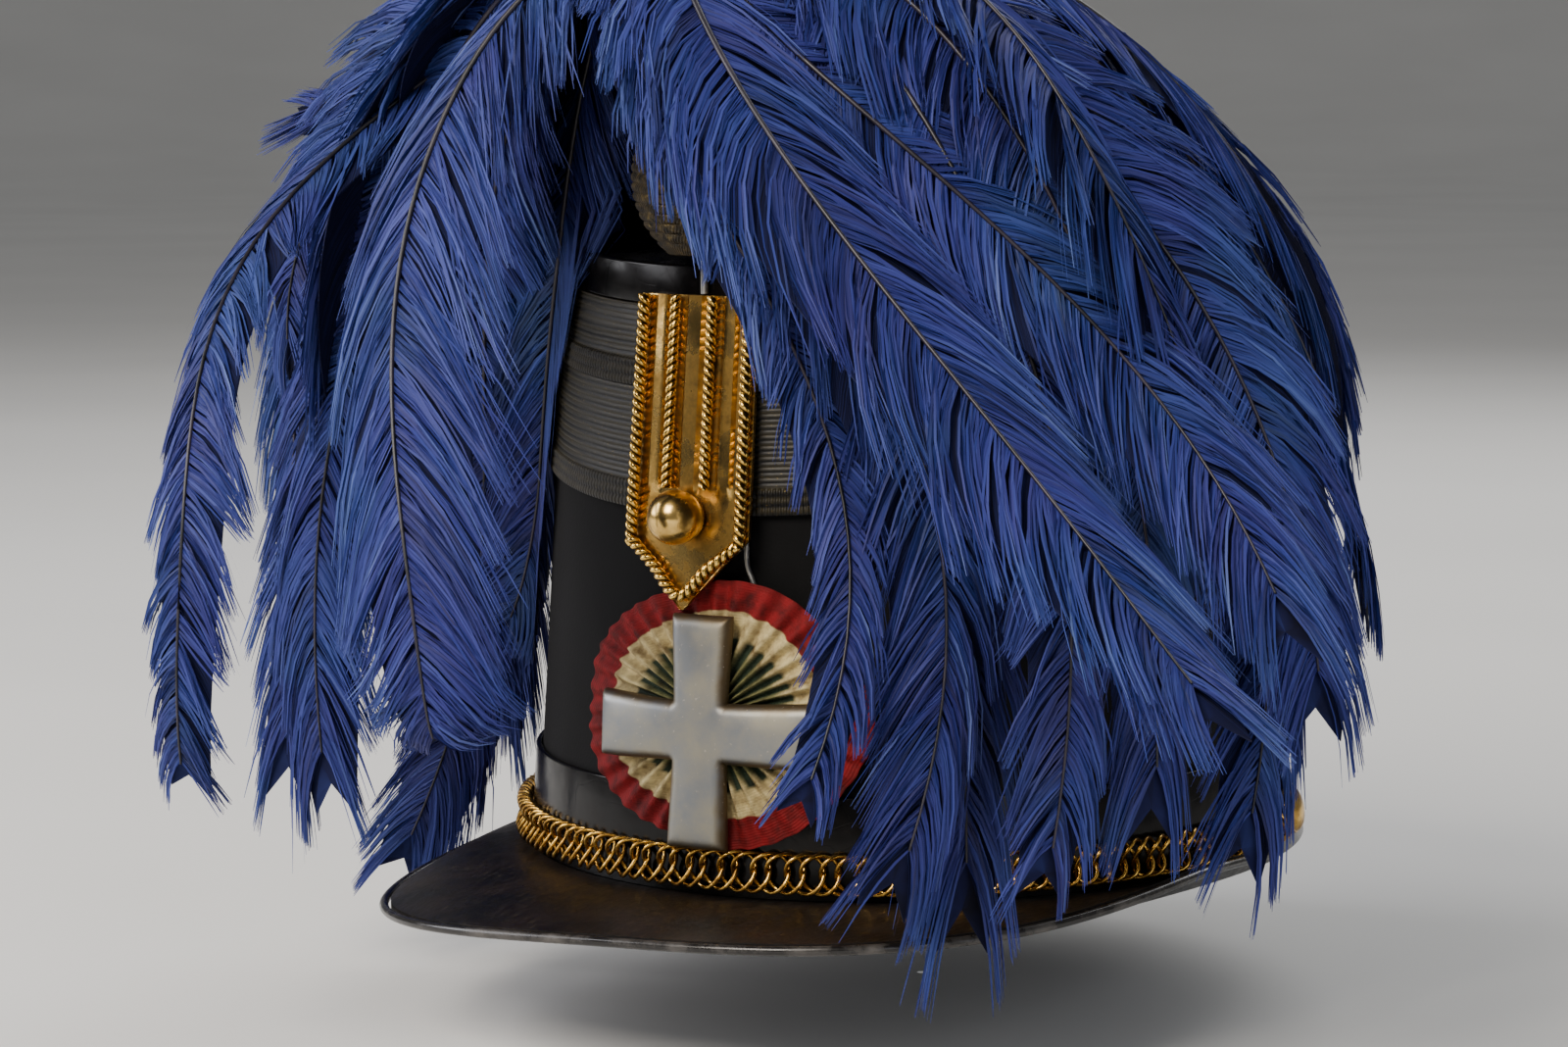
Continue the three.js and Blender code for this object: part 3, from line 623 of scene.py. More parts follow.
@dataclass(frozen=True)
class PleatedRibbon(Finish):
    """Ribbed silk ribbon in three rings: faded red outside, cream, and grey green at the middle."""

    name: str = "ribbed silk ribbon"
    red: str = "#7c0f14"
    cream: str = "#cdbb88"
    # green is the middle ring darkened by painted shade in the folds; olive is the same ring lightened by painted
    # light on the ridges.
    green: str = "#2f3d2d"
    olive: str = "#77754a"
    soiled: str = "#8f8378"
    clean: str = "#ffffff"

    def paint(self, tree: bpy.types.NodeTree, shader: bpy.types.Node) -> None:
        """On a UV of fold and share outwards: painted shade makes the middle ring dark green in the folds' depth and
        painted light makes it olive on the ridges; ribs 0.7 mm apart, age in clouds.

        Args:
            tree: the material's node tree.
            shader: its surface shader.
        """
        coordinates = add_node(tree, "TexCoord")
        runs = coordinates.outputs["UV"]
        where = coordinates.outputs["Object"]
        split = add_node(tree, "SeparateXYZ", {"Vector": runs})
        drift = add_node(tree, "TexNoise", {"Vector": where, "Scale": per_metre(5), "Detail": 2.0})
        share = add_node(tree, "Math", {0: drift.outputs["Fac"], 1: 0.06, 2: split.outputs["Y"]},
                         operation="MULTIPLY_ADD")
        # Painted shade: dark green in the folds' depth.
        depth = add_node(tree, "ValToRGB", {"Fac": share.outputs["Value"]},
                         stops=[(0.2, self.green), (0.6, self.green), (0.63, self.cream), (0.8, self.cream),
                                (0.81, self.red)])
        # Painted light: paler olive on the ridges.
        ridge = add_node(tree, "ValToRGB", {"Fac": share.outputs["Value"]},
                         stops=[(0.2, self.olive), (0.5, self.olive), (0.58, self.cream), (0.8, self.cream),
                                (0.81, self.red)])
        # The fold mask blends from painted shade in the folds to painted light on the ridges.
        fold = add_node(tree, "MapRange", {"Value": split.outputs["X"], "From Min": 0.3, "From Max": 1.0})
        rings = add_node(tree, "Mix",
                         {0: fold.outputs["Result"], 6: depth.outputs["Color"], 7: ridge.outputs["Color"]},
                         data_type="RGBA")
        cloud = add_node(tree, "TexNoise", {"Vector": where, "Scale": per_metre(3.2), "Detail": 6.0})
        age = add_node(tree, "ValToRGB", {"Fac": cloud.outputs["Fac"]},
                       stops=[(0.3, self.soiled), (0.62, self.clean)])
        colour = add_node(tree, "Mix", {0: 1.0, 6: rings.outputs[2], 7: age.outputs["Color"]}, data_type="RGBA",
                          blend_type="MULTIPLY")
        ribs = add_node(tree, "TexWave", {"Vector": runs, "Scale": 16.0, "Distortion": 0.4}, wave_type="BANDS",
                        bands_direction="Y")
        bump = add_node(tree, "Bump", {"Height": ribs.outputs["Fac"], "Strength": 0.5, "Distance": 0.12 * MM})
        set_inputs(tree, shader, {"Base Color": colour.outputs[2], "Normal": bump.outputs["Normal"],
                                  "Roughness": 0.75, "Specular IOR Level": 0.25})


@dataclass(frozen=True)
class WoundLace(Finish):
    """Gilt lace wound on a wooden core, tarnished to dark bronze: round turns with slanting threads."""

    name: str = "wound gilt lace"
    dark: str = "#15110a"
    bronze: str = "#3f3520"
    glint: str = "#74643a"

    def paint(self, tree: bpy.types.NodeTree, shader: bpy.types.Node) -> None:
        """Threads 0.9 mm apart slant across each turn; glints follow a fine fleck.

        Args:
            tree: the material's node tree.
            shader: its surface shader.
        """
        coordinates = add_node(tree, "TexCoord")
        slant = add_node(tree, "Mapping", {"Vector": coordinates.outputs["UV"], "Rotation": (0.0, 0.0, 0.6)})
        thread = add_node(tree, "TexWave",
                          {"Vector": slant.outputs["Vector"], "Scale": per_band(0.9), "Distortion": 0.5},
                          wave_type="BANDS", bands_direction="X")
        fleck = add_node(tree, "TexNoise",
                         {"Vector": coordinates.outputs["Object"], "Scale": per_metre(1.6), "Detail": 4.0})
        tone = add_node(tree, "ValToRGB", {"Fac": fleck.outputs["Fac"]},
                        stops=[(0.35, self.dark), (0.58, self.bronze), (0.78, self.glint)])
        bump = add_node(tree, "Bump", {"Height": thread.outputs["Fac"], "Strength": 0.7, "Distance": 0.25 * MM})
        set_inputs(tree, shader, {"Base Color": tone.outputs["Color"], "Normal": bump.outputs["Normal"],
                                  "Metallic": 0.45, "Roughness": 0.5})


@dataclass(frozen=True)
class DyedBarb(Finish):
    """Ostrich barbs dyed deep blue: matt, violet near the shaft, paler and greener where worn thin."""

    name: str = "dyed ostrich barb"
    deep: str = "#0b0d28"
    blue: str = "#20286a"
    bright: str = "#38468f"
    pale: str = "#6c80b8"
    violet: str = "#2d2870"
    worn: str = "#29457a"
    sheen: str = "#7f90e8"

    def paint(self, tree: bpy.types.NodeTree, shader: bpy.types.Node) -> None:
        """On a UV of tone and run along the barb: its own tone, a darker root, and dye drifting over 35 mm.

        Args:
            tree: the material's node tree.
            shader: its surface shader.
        """
        coordinates = add_node(tree, "TexCoord")
        split = add_node(tree, "SeparateXYZ", {"Vector": coordinates.outputs["UV"]})
        level = add_node(tree, "Math", {0: split.outputs["Y"], 1: 0.22, 2: split.outputs["X"]},
                         operation="MULTIPLY_ADD")
        tone = add_node(tree, "ValToRGB", {"Fac": level.outputs["Value"]},
                        stops=[(0.12, self.deep), (0.45, self.blue), (0.75, self.bright), (1.0, self.pale)])
        drift = add_node(tree, "TexNoise",
                         {"Vector": coordinates.outputs["Object"], "Scale": per_metre(35), "Detail": 3.0})
        hue = add_node(tree, "ValToRGB", {"Fac": drift.outputs["Fac"]},
                       stops=[(0.36, self.violet), (0.5, self.blue), (0.66, self.worn)])
        colour = add_node(tree, "Mix", {0: 0.38, 6: tone.outputs["Color"], 7: hue.outputs["Color"]},
                          data_type="RGBA")
        set_inputs(tree, shader, {"Base Color": colour.outputs[2], "Roughness": 0.62, "Specular IOR Level": 0.3,
                                  "Sheen Weight": 0.08, "Sheen Roughness": 0.45, "Sheen Tint": linear(self.sheen)})


@dataclass(frozen=True)
class ShadedVane(Finish):
    """The close lower layer of barbs, seen between the free ones, coloured darker than them as painted shade in the
    gaps; combed along the barbs.
    """

    name: str = "ostrich vane in painted shade"
    # deep, blue and bright are kept dark: painted shade between the free barbs.
    deep: str = "#060717"
    blue: str = "#10143a"
    bright: str = "#1f2858"

    def paint(self, tree: bpy.types.NodeTree, shader: bpy.types.Node) -> None:
        """On a UV of centimetres along the shaft and share along the barb: streaks 0.5 mm apart.

        Args:
            tree: the material's node tree.
            shader: its surface shader.
        """
        runs = add_node(tree, "TexCoord").outputs["UV"]
        comb = add_node(tree, "Mapping", {"Vector": runs, "Scale": (20.0, 1.6, 1.0)})
        streak = add_node(tree, "TexNoise", {"Vector": comb.outputs["Vector"], "Scale": 1.0, "Detail": 3.0})
        tone = add_node(tree, "ValToRGB", {"Fac": streak.outputs["Fac"]},
                        stops=[(0.32, self.deep), (0.52, self.blue), (0.72, self.bright)])
        bump = add_node(tree, "Bump", {"Height": streak.outputs["Fac"], "Strength": 0.8, "Distance": 0.4 * MM})
        set_inputs(tree, shader, {"Base Color": tone.outputs["Color"], "Normal": bump.outputs["Normal"],
                                  "Roughness": 0.85, "Specular IOR Level": 0.2})


@dataclass(frozen=True)
class Quill(Finish):
    """Dyed feather shaft: near black horn with a soft shine."""

    name: str = "dyed quill horn"
    dark: str = "#0a090f"
    light: str = "#2a2430"

    def paint(self, tree: bpy.types.NodeTree, shader: bpy.types.Node) -> None:
        """Light and dark lengths of 20 mm.

        Args:
            tree: the material's node tree.
            shader: its surface shader.
        """
        where = add_node(tree, "TexCoord").outputs["Object"]
        drift = add_node(tree, "TexNoise", {"Vector": where, "Scale": per_metre(20), "Detail": 3.0})
        tone = add_node(tree, "ValToRGB", {"Fac": drift.outputs["Fac"]},
                        stops=[(0.4, self.dark), (0.65, self.light)])
        set_inputs(tree, shader, {"Base Color": tone.outputs["Color"], "Roughness": 0.38})


@dataclass(frozen=True)
class PaintedFloor(Finish):
    """Matt pale studio floor."""

    name: str = "matt pale floor"
    low: str = "#dddcd9"
    high: str = "#e2e1de"

    def paint(self, tree: bpy.types.NodeTree, shader: bpy.types.Node) -> None:
        """One pale grey with clouds of 300 mm that hardly show.

        Args:
            tree: the material's node tree.
            shader: its surface shader.
        """
        where = add_node(tree, "TexCoord").outputs["Object"]
        cloud = add_node(tree, "TexNoise", {"Vector": where, "Scale": per_metre(300)})
        tone = add_node(tree, "ValToRGB", {"Fac": cloud.outputs["Fac"]}, stops=[(0.3, self.low), (0.7, self.high)])
        set_inputs(tree, shader, {"Base Color": tone.outputs["Color"], "Roughness": 0.9})


VELVET = SilkVelvet()
PATENT = PatentLeather()
CROWN_LEATHER = PatentLeather("lacquered crown leather", "#141417", "#2c2b2c", 0.42, 0.5)
WORN = WornLeather()
GILT = FireGilt()
GILT_WIRE = FireGilt("drawn gilt wire", "#efc76a", "#c29645", "#38280f", 5.0, 0.36, True)
CHAIN_BRASS = FireGilt("gilt brass chain wire", "#e6b85a", "#ad8138", "#5c4221", 3.0, 0.36)
SILVERED = WhiteMetal()
BRIGHT_WIRE = WhiteMetal("tinned iron wire", "#b9b8b4", "#8d8d8c", "#7a6a50", 0.25)


# ---- the form that everything sits on ----


@dataclass(frozen=True)
class ShakoForm:
    """Sizes that the pieces share, and the shell's face as functions of turn, height and offset."""

    rim_half_width: float = 90.5 * MM
    rim_half_length: float = 103.5 * MM
    crown_half_width: float = 69 * MM
    crown_half_length: float = 60 * MM
    crown_forward: float = 34 * MM
    front_height: float = 144 * MM
    crown_slope: float = 0.2
    wall: float = 2.6 * MM
    seat: float = 0.3 * MM
    leather: float = 1.2 * MM
    crown_leather: float = 2 * MM
    crown_band_height: float = 8.5 * MM
    over_crown: float = 4 * MM
    mean_radius: float = 82 * MM
    ring_steps: int = 220

    @property
    def rear_height(self) -> float:
        """Height of the crown at the rear."""
        return self.front_height + 2 * self.crown_half_length * self.crown_slope

    @property
    def band_outer(self) -> float:
        """Offset of the leather bands' outer face."""
        return self.seat + self.leather

    @property
    def turns(self) -> np.ndarray:
        """Angles of one ring round the shell."""
        return circle(self.ring_steps)

    def face(self, turn: np.ndarray, height: np.ndarray, offset: np.ndarray) -> np.ndarray:
        """The shell's face: an oval that shrinks and moves forward upwards, offset square to the oval.

        Args:
            turn: angle from the front towards +X.
            height: height over the rim.
            offset: distance out from the velvet.

        Returns:
            Points, with the arguments' common shape and a last axis of three.
        """
        turn, height, offset = np.broadcast_arrays(turn, height, offset)
        share = height / self.rear_height
        half_width = mix(self.rim_half_width, self.crown_half_width, share)
        half_length = mix(self.rim_half_length, self.crown_half_length, share)
        out = unit(np.stack([np.sin(turn) / half_width, -np.cos(turn) / half_length], -1))
        x = half_width * np.sin(turn) + out[..., 0] * offset
        y = -self.crown_forward * share - half_length * np.cos(turn) + out[..., 1] * offset
        return np.stack([x, y, height], -1)

    def front(self, side: np.ndarray, height: np.ndarray, offset: np.ndarray) -> np.ndarray:
        """The same face by a distance to the side of the front line.

        Args:
            side: distance towards +X.
            height: height over the base rim.
            offset: distance out from the face.

        Returns:
            Points with a last axis of three.
        """
        half_width = mix(self.rim_half_width, self.crown_half_width, np.asarray(height) / self.rear_height)
        return self.face(np.arcsin(np.clip(side / half_width, -1, 1)), height, offset)

    def slope(self, turn: np.ndarray, height: np.ndarray, offset: np.ndarray) -> np.ndarray:
        """The same face on a plane that climbs to the rear: height plus slope times the way back.

        Args:
            turn: angle from the front towards +X.
            height: height of the plane at the front.
            offset: distance out from the face.

        Returns:
            Points with a last axis of three.
        """
        turn, height, offset = np.broadcast_arrays(turn, height, offset)
        start = self.face(np.zeros_like(turn), height, np.zeros_like(offset))[..., 1]
        point = self.face(turn, height, offset)
        for _ in range(6):
            point = self.face(turn, height + self.crown_slope * (point[..., 1] - start), offset)
        return point

    def axes(self, turn: np.ndarray, height: float) -> tuple[np.ndarray, np.ndarray, np.ndarray]:
        """Directions round, up and square out of the face at a turn and height.

        Args:
            turn: angle from the front towards +X.
            height: height over the base rim.

        Returns:
            The three unit directions.
        """
        foot = self.face(turn, height, 0.0)
        around = unit(self.face(np.asarray(turn) + 0.01, height, 0.0) - foot)
        climb = unit(self.face(turn, height + MM, 0.0) - foot)
        square = unit(np.cross(around, climb))
        return around, unit(np.cross(square, around)), square

    def keep_clear(self, points: np.ndarray, gap: float) -> np.ndarray:
        """Moves points that lie inside the shell out to a gap from it, straight away from its axis.

        Args:
            points: any array of places.
            gap: distance to keep from the velvet.

        Returns:
            The places, changed only where they were too near.
        """
        share = np.clip(points[..., 2] / self.rear_height, 0, 1)
        half_width = mix(self.rim_half_width, self.crown_half_width, share) + gap
        half_length = mix(self.rim_half_length, self.crown_half_length, share) + gap
        middle = -self.crown_forward * share
        x = points[..., 0] / half_width
        y = (points[..., 1] - middle) / half_length
        near = np.sqrt(x * x + y * y)
        back = points[..., 1] - middle + self.crown_half_length
        top = self.front_height + self.crown_slope * back + self.over_crown
        held = (near < 1) & (points[..., 2] > 0) & (points[..., 2] < top)
        grow = np.where(held, 1 / np.maximum(near, 0.3), 1.0)
        moved = points.copy()
        moved[..., 0] = points[..., 0] * grow
        moved[..., 1] = middle + (points[..., 1] - middle) * grow
        return moved


FORM = ShakoForm()


def rounded_box(inner: float, outer: float, low: float, high: float, radius: float) -> tuple[np.ndarray, np.ndarray]:
    """A box profile with its outer corners rounded by quarter circles.

    Args:
        inner: inner offset.
        outer: outer offset.
        low: lowest height.
        high: highest height.
        radius: corner radius.

    Returns:
        Offsets and heights round the profile.
    """
    bend = np.linspace(0, np.pi / 2, 5)
    offsets = np.concatenate([[inner], outer - radius + radius * np.sin(bend),
                              outer - radius + radius * np.cos(bend), [inner]])
    heights = np.concatenate([[low], low + radius - radius * np.cos(bend),
                              high - radius + radius * np.sin(bend), [high]])
    return offsets, heights


def band(
    name: str, offsets: np.ndarray, heights: np.ndarray, sloped: bool, uv_scale: float = 1.0
) -> bpy.types.Object:
    """Carries a closed profile round the shell, on its level rings or on the crown's slope.

    Args:
        name: the piece's name.
        offsets: the profile's distances from the velvet.
        heights: the profile's heights at the front.
        sloped: whether the rings climb to the rear.
        uv_scale: texture units to a metre.

    Returns:
        The band, with a UV of length round and height up.
    """
    put = FORM.slope if sloped else FORM.face
    points = put(FORM.turns[None], heights[:, None], offsets[:, None])
    round_run = np.linspace(0, 1, FORM.ring_steps + 1) * 2 * np.pi * FORM.mean_radius
    rise = np.append(heights, heights[0]) - heights.min()
    uv = np.stack(np.broadcast_arrays(round_run[None], rise[:, None]), -1) * uv_scale
    return skin(name, points, uv, wrap_rows=True)


# ---- sub-assemblies ----


@dataclass
class Shell:
    """The velvet body, its leather crown and the leather bands at both ends."""

    form: ShakoForm = FORM
    base_band_height: float = 26 * MM
    rim_lip: float = 0.6 * MM
    dish: float = 1.2 * MM
    edge_round: float = 0.45 * MM
    unrest: float = 0.25 * MM

    def body(self) -> bpy.types.Object:
        """The wall: outer face up to the crown, inner face back down, each row a share of the sloped top.

        Returns:
            The velvet piece.
        """
        top = self.form.front_height - self.form.crown_leather - 2 * self.form.seat
        turn = self.form.turns[None]
        full = self.form.slope(turn, top, 0.0)[..., 2]
        shares = np.concatenate([np.linspace(0, 1, 26), np.linspace(1, 0, 14)])
        offsets = np.concatenate([np.zeros(26), np.full(14, -self.form.wall)])
        lines = shares[:, None]
        unrest = self.unrest * np.sin(3 * turn + 4 * lines) * np.sin(np.pi * lines) * (offsets[:, None] == 0)
        points = self.form.face(turn, full * lines, offsets[:, None] + unrest)
        return skin("body_velvet", points, wrap_rows=True)

    def crown_top(self) -> bpy.types.Object:
        """The disc: rings drawn from the sloped edge to its middle, sunk by a smooth step inwards.

        Returns:
            The leather disc.
        """
        top = self.form.front_height - self.form.seat
        turn = self.form.turns
        edge = self.form.slope(turn, self.form.front_height, 0.0)
        middle = 0.5 * (self.form.slope(np.array([0.0]), self.form.front_height, 0.0)
                        + self.form.slope(np.array([np.pi]), self.form.front_height, 0.0))
        shares = np.array([0.4, 0.8, 1.0, 1.0, 0.985, 0.95, 0.9, 0.8, 0.65, 0.45, 0.2])
        sink = np.array([self.form.crown_leather] * 3 + [0.3 * MM] + [0.0] * 7)
        dished = self.dish * (1 - smooth((shares - 0.5) / 0.42)) * (np.arange(11) > 3)
        points = middle + (edge - middle) * shares[:, None, None]
        points[..., 2] += (top - self.form.front_height - sink - dished)[:, None]
        return skin("crown_leather", points)

    def build(self) -> None:
        """Makes and dresses the four pieces."""
        form = self.form
        place(self.body(), VELVET, Slot.VELVET, "body")
        place(self.crown_top(), CROWN_LEATHER, Slot.PATENT, "crown_top")
        rim = rounded_box(form.seat, form.band_outer, form.front_height - form.crown_band_height,
                          form.front_height + self.rim_lip, self.edge_round)
        place(band("crown_band_leather", *rim, sloped=True), PATENT, Slot.PATENT, "crown_band")
        foot = rounded_box(form.seat, form.band_outer, 0.0, self.base_band_height, self.edge_round)
        place(band("base_band_leather", *foot, sloped=False), PATENT, Slot.PATENT, "base_band")


@dataclass
class LaceBands:
    """Two rows of ribbed lace under the crown band, the upper lying over the lower's edge."""

    form: ShakoForm = FORM
    height: float = 27.5 * MM
    upper_shows: float = 18.6 * MM
    thick: float = 0.9 * MM
    border: float = 6 * MM
    border_relief: float = 0.5 * MM
    rib_pitch: float = 1.2 * MM
    rib_relief: float = 0.32 * MM
    flat_length: float = 0.485

    def row(self, name: str, low: float, top: float) -> bpy.types.Object:
        """One band: its face rises by the size of a sine for each rib, and by the border's relief below.

        Args:
            name: the object's name.
            low: height of its lower edge at the front.
            top: height of its upper edge at the front.

        Returns:
            The band's mesh object.
        """
        count = int(round((top - low) / self.rib_pitch)) * 4
        climb = np.linspace(0, top - low, count + 1)
        pitch = np.where(climb < self.border, self.border / 3, self.rib_pitch)
        rib = np.abs(np.sin(np.pi * climb / pitch)) * self.rib_relief
        outer = self.form.seat + self.thick - 0.1 * MM + rib + np.where(climb < self.border, self.border_relief, 0)
        offsets = np.concatenate([outer, [self.form.seat, self.form.seat]])
        heights = np.concatenate([low + climb, [top, low]])
        return band(name, offsets, heights, sloped=True, uv_scale=100.0)

    def build(self) -> None:
        """Makes and dresses both bands."""
        finish = SilkLace()
        top = self.form.front_height - self.form.crown_band_height - self.form.seat
        for name, low, node in (("lace_upper_weave", top - self.upper_shows, "lace_upper"),
                                ("lace_lower_weave", top - self.upper_shows - self.form.seat - self.height,
                                 "lace_lower")):
            piece = place(self.row(name, low, top), finish, Slot.LACE, node)
            top = low - self.form.seat


@dataclass
class Peak:
    """The squared leather peak with its rolled binding."""

    form: ShakoForm = FORM
    reach: float = 40.5 * MM
    half_width: float = 98.5 * MM
    thick: float = 2.4 * MM
    squareness: float = 0.68
    seam_height: float = 1.3 * MM
    edge_height: float = 2.9 * MM
    drop: float = 4.2 * MM
    lean: float = 4.8 * MM
    side_droop: float = 3 * MM
    end_turn: float = 97.0
    taper_turn: float = 76.0
    binding_turn: float = 90.0
    binding_radius: float = 1.1 * MM
    binding_slack: float = 0.2 * MM
    unrest: float = 0.25 * MM
    out_steps: int = 19

    def sheet(self, turn: np.ndarray, share: np.ndarray, above: np.ndarray) -> np.ndarray:
        """The peak's middle surface: from the band outwards to a squared oval that drops and leans.

        Args:
            turn: angle from the front towards +X.
            share: 0 at the band, 1 at the edge.
            above: height over the middle surface.

        Returns:
            Points with a last axis of three.
        """
        turn, share, above = np.broadcast_arrays(turn, share, above)
        inner = self.form.face(turn, self.seam_height, self.form.band_outer + self.form.seat)
        sides = np.stack([np.sin(turn), np.cos(turn)])
        x, y = np.sign(sides) * np.abs(sides) ** self.squareness
        x = self.half_width * x
        y = -(self.form.rim_half_length + self.reach) * y
        ahead = np.maximum(0, -y / self.form.rim_half_length)
        aside = x / self.form.rim_half_width
        z = self.edge_height - self.drop * np.maximum(0, ahead - 0.4) + self.lean * aside
        z = z - self.side_droop * aside * aside * np.minimum(1, ahead)
        keep = 1 - 0.9 * smooth((np.abs(np.degrees(turn)) - self.taper_turn) / (self.end_turn - self.taper_turn))
        edge = inner + (np.stack([x, y, z], -1) - inner) * keep[..., None]
        point = inner + (edge - inner) * share[..., None]
        point[..., 2] = mix(inner[..., 2], edge[..., 2], share ** 1.8) + above
        return point

    def build(self) -> None:
        """Makes and dresses the peak and its binding."""
        turn = np.radians(np.linspace(-self.end_turn, self.end_turn, 161))[:, None]
        share = np.linspace(0, 1, self.out_steps)
        shares = np.concatenate([share, share[::-1]])
        above = np.repeat([0.5, -0.5], self.out_steps) * self.thick
        wave = self.unrest * np.sin(7 * turn + 3 * shares) * np.sin(np.pi * shares)
        leather = skin("peak_leather", self.sheet(turn, shares, above + wave))
        place(leather, WORN, Slot.WORN, "peak")
        turn = np.radians(np.linspace(-self.binding_turn, self.binding_turn, 241))
        edge = self.sheet(turn, 1.0, 0.0)
        along = np.gradient(edge, axis=0)
        along[:, 2] = 0
        along = unit(along)
        clear = self.binding_radius + self.form.seat + self.binding_slack
        path = edge + clear * np.stack([along[:, 1], -along[:, 0], np.zeros(len(along))], -1)
        rows = tube_rows(path, self.binding_radius, 14, np.array([0.0, 0.0, 1.0]))
        finish = PatentLeather("rolled patent binding", "#191716", "#5c5854", 0.45, 0.5)
        place(skin("peak_binding_roll", rows), finish, Slot.PATENT, "peak_binding")


def lathe(profile: np.ndarray, sides: int, origin: np.ndarray, axes: tuple) -> np.ndarray:
    """Spins a profile of radius and height about the third of three axes.

    Args:
        profile: rows of radius and height.
        sides: points round.
        origin: the foot of the axis.
        axes: two directions across and the axis itself.

    Returns:
        Points as profile rows by sides by three.
    """
    angle = circle(sides)
    ring = axes[0] * np.cos(angle)[:, None] + axes[1] * np.sin(angle)[:, None]
    return origin + profile[:, :1, None] * ring[None] + profile[:, 1:, None] * axes[2]


@dataclass
class ChinChain:
    """Gilt rings threaded like a curb chain along the base band, between two domed buttons."""

    form: ShakoForm = FORM
    height: float = 8.9 * MM
    offset: float = 3.6 * MM
    ring_radius: float = 4.4 * MM
    wire_radius: float = 0.52 * MM
    twist: float = 1.5 * MM
    close_pitch: float = 3.5 * MM
    open_pitch: float = 4.5 * MM
    button_turn: float = 107.0
    button_radius: float = 6 * MM
    button_dome: float = 3.4 * MM
    button_lip: float = 0.9 * MM
    button_gap: float = 0.6 * MM
    button_seat: float = 0.5 * MM
    ring_sides: int = 22
    wire_sides: int = 7
    seed: int = 41

    def rings(self) -> bpy.types.Object:
        """Every ring at once: a circle that bows out at upper left and lower right by a sine of twice its angle.

        Returns:
            All the rings as one piece.
        """
        end = np.radians(self.button_turn) - (self.button_radius + self.button_gap) / self.form.rim_half_width
        turn = np.linspace(-end, end, 1200)
        route = self.form.face(turn, self.height, self.offset)
        run = run_along(route)
        pairs = int((run[-1] - 2 * self.ring_radius) / (self.close_pitch + self.open_pitch))
        places = np.cumsum(np.tile([self.open_pitch, self.close_pitch], pairs))
        places = places - places[0] + (run[-1] - places[-1] + places[0]) / 2
        here = np.interp(places, run, turn)
        around, up, square = self.form.axes(here, self.height)
        middle = self.form.face(here, self.height, self.offset)
        rng = np.random.default_rng(self.seed)
        sway = rng.normal(0, 0.09, (len(here), 1))
        angle = circle(self.ring_sides)
        across = self.ring_radius * np.cos(angle)[None, :, None]
        rise = self.ring_radius * np.sin(angle)[None, :, None]
        depth = (-self.twist * np.sin(2 * angle)[None] + sway * MM * np.cos(angle)[None])[..., None]
        path = middle[:, None] + across * around[:, None] + rise * up[:, None] + depth * square[:, None]
        ahead = unit(np.roll(path, -1, axis=1) - np.roll(path, 1, axis=1))
        side = unit(np.cross(ahead, np.broadcast_to(square[:, None], path.shape)))
        over = np.cross(side, ahead)
        spin = circle(self.wire_sides)
        points = path[:, :, None] + self.wire_radius * (
            side[:, :, None] * np.cos(spin)[:, None] + over[:, :, None] * np.sin(spin)[:, None])
        faces, _, _ = grid_faces(self.ring_sides, self.wire_sides, True, True)
        first = np.arange(len(here)) * self.ring_sides * self.wire_sides
        every = (faces[None] + first[:, None, None]).reshape(-1, 4)
        return tidy_mesh(mesh_piece("chin_chain_rings", points.reshape(-1, 3), every), 60)

    def build(self) -> None:
        """Makes and dresses the chain and its buttons."""
        place(self.rings(), CHAIN_BRASS, Slot.GILT, "chin_chain")
        rise = np.linspace(0, np.pi / 2, 9)
        dome = np.stack([self.button_radius * 0.93 * np.cos(rise),
                         mix(self.button_lip, self.button_dome, np.sin(rise))], -1)[:-1]
        lip = np.array([[0.5, 0.0], [1.0, 0.0], [1.0, 0.24], [0.95, 0.27]]) * [self.button_radius, self.button_dome]
        profile = np.vstack([lip, dome, [[0.2 * MM, self.button_dome]]])
        for hand, word in ((Hand.LEFT, "left"), (Hand.RIGHT, "right")):
            turn = np.radians(hand.value * self.button_turn)
            axes = self.form.axes(turn, self.height)
            origin = self.form.face(turn, self.height, 0.0) + axes[2] * (self.form.band_outer + self.button_seat)
            button = skin(f"chain_button_{word}_dome", lathe(profile, 36, origin, axes))
            place(button, GILT, Slot.GILT, f"chain_button_{word}")


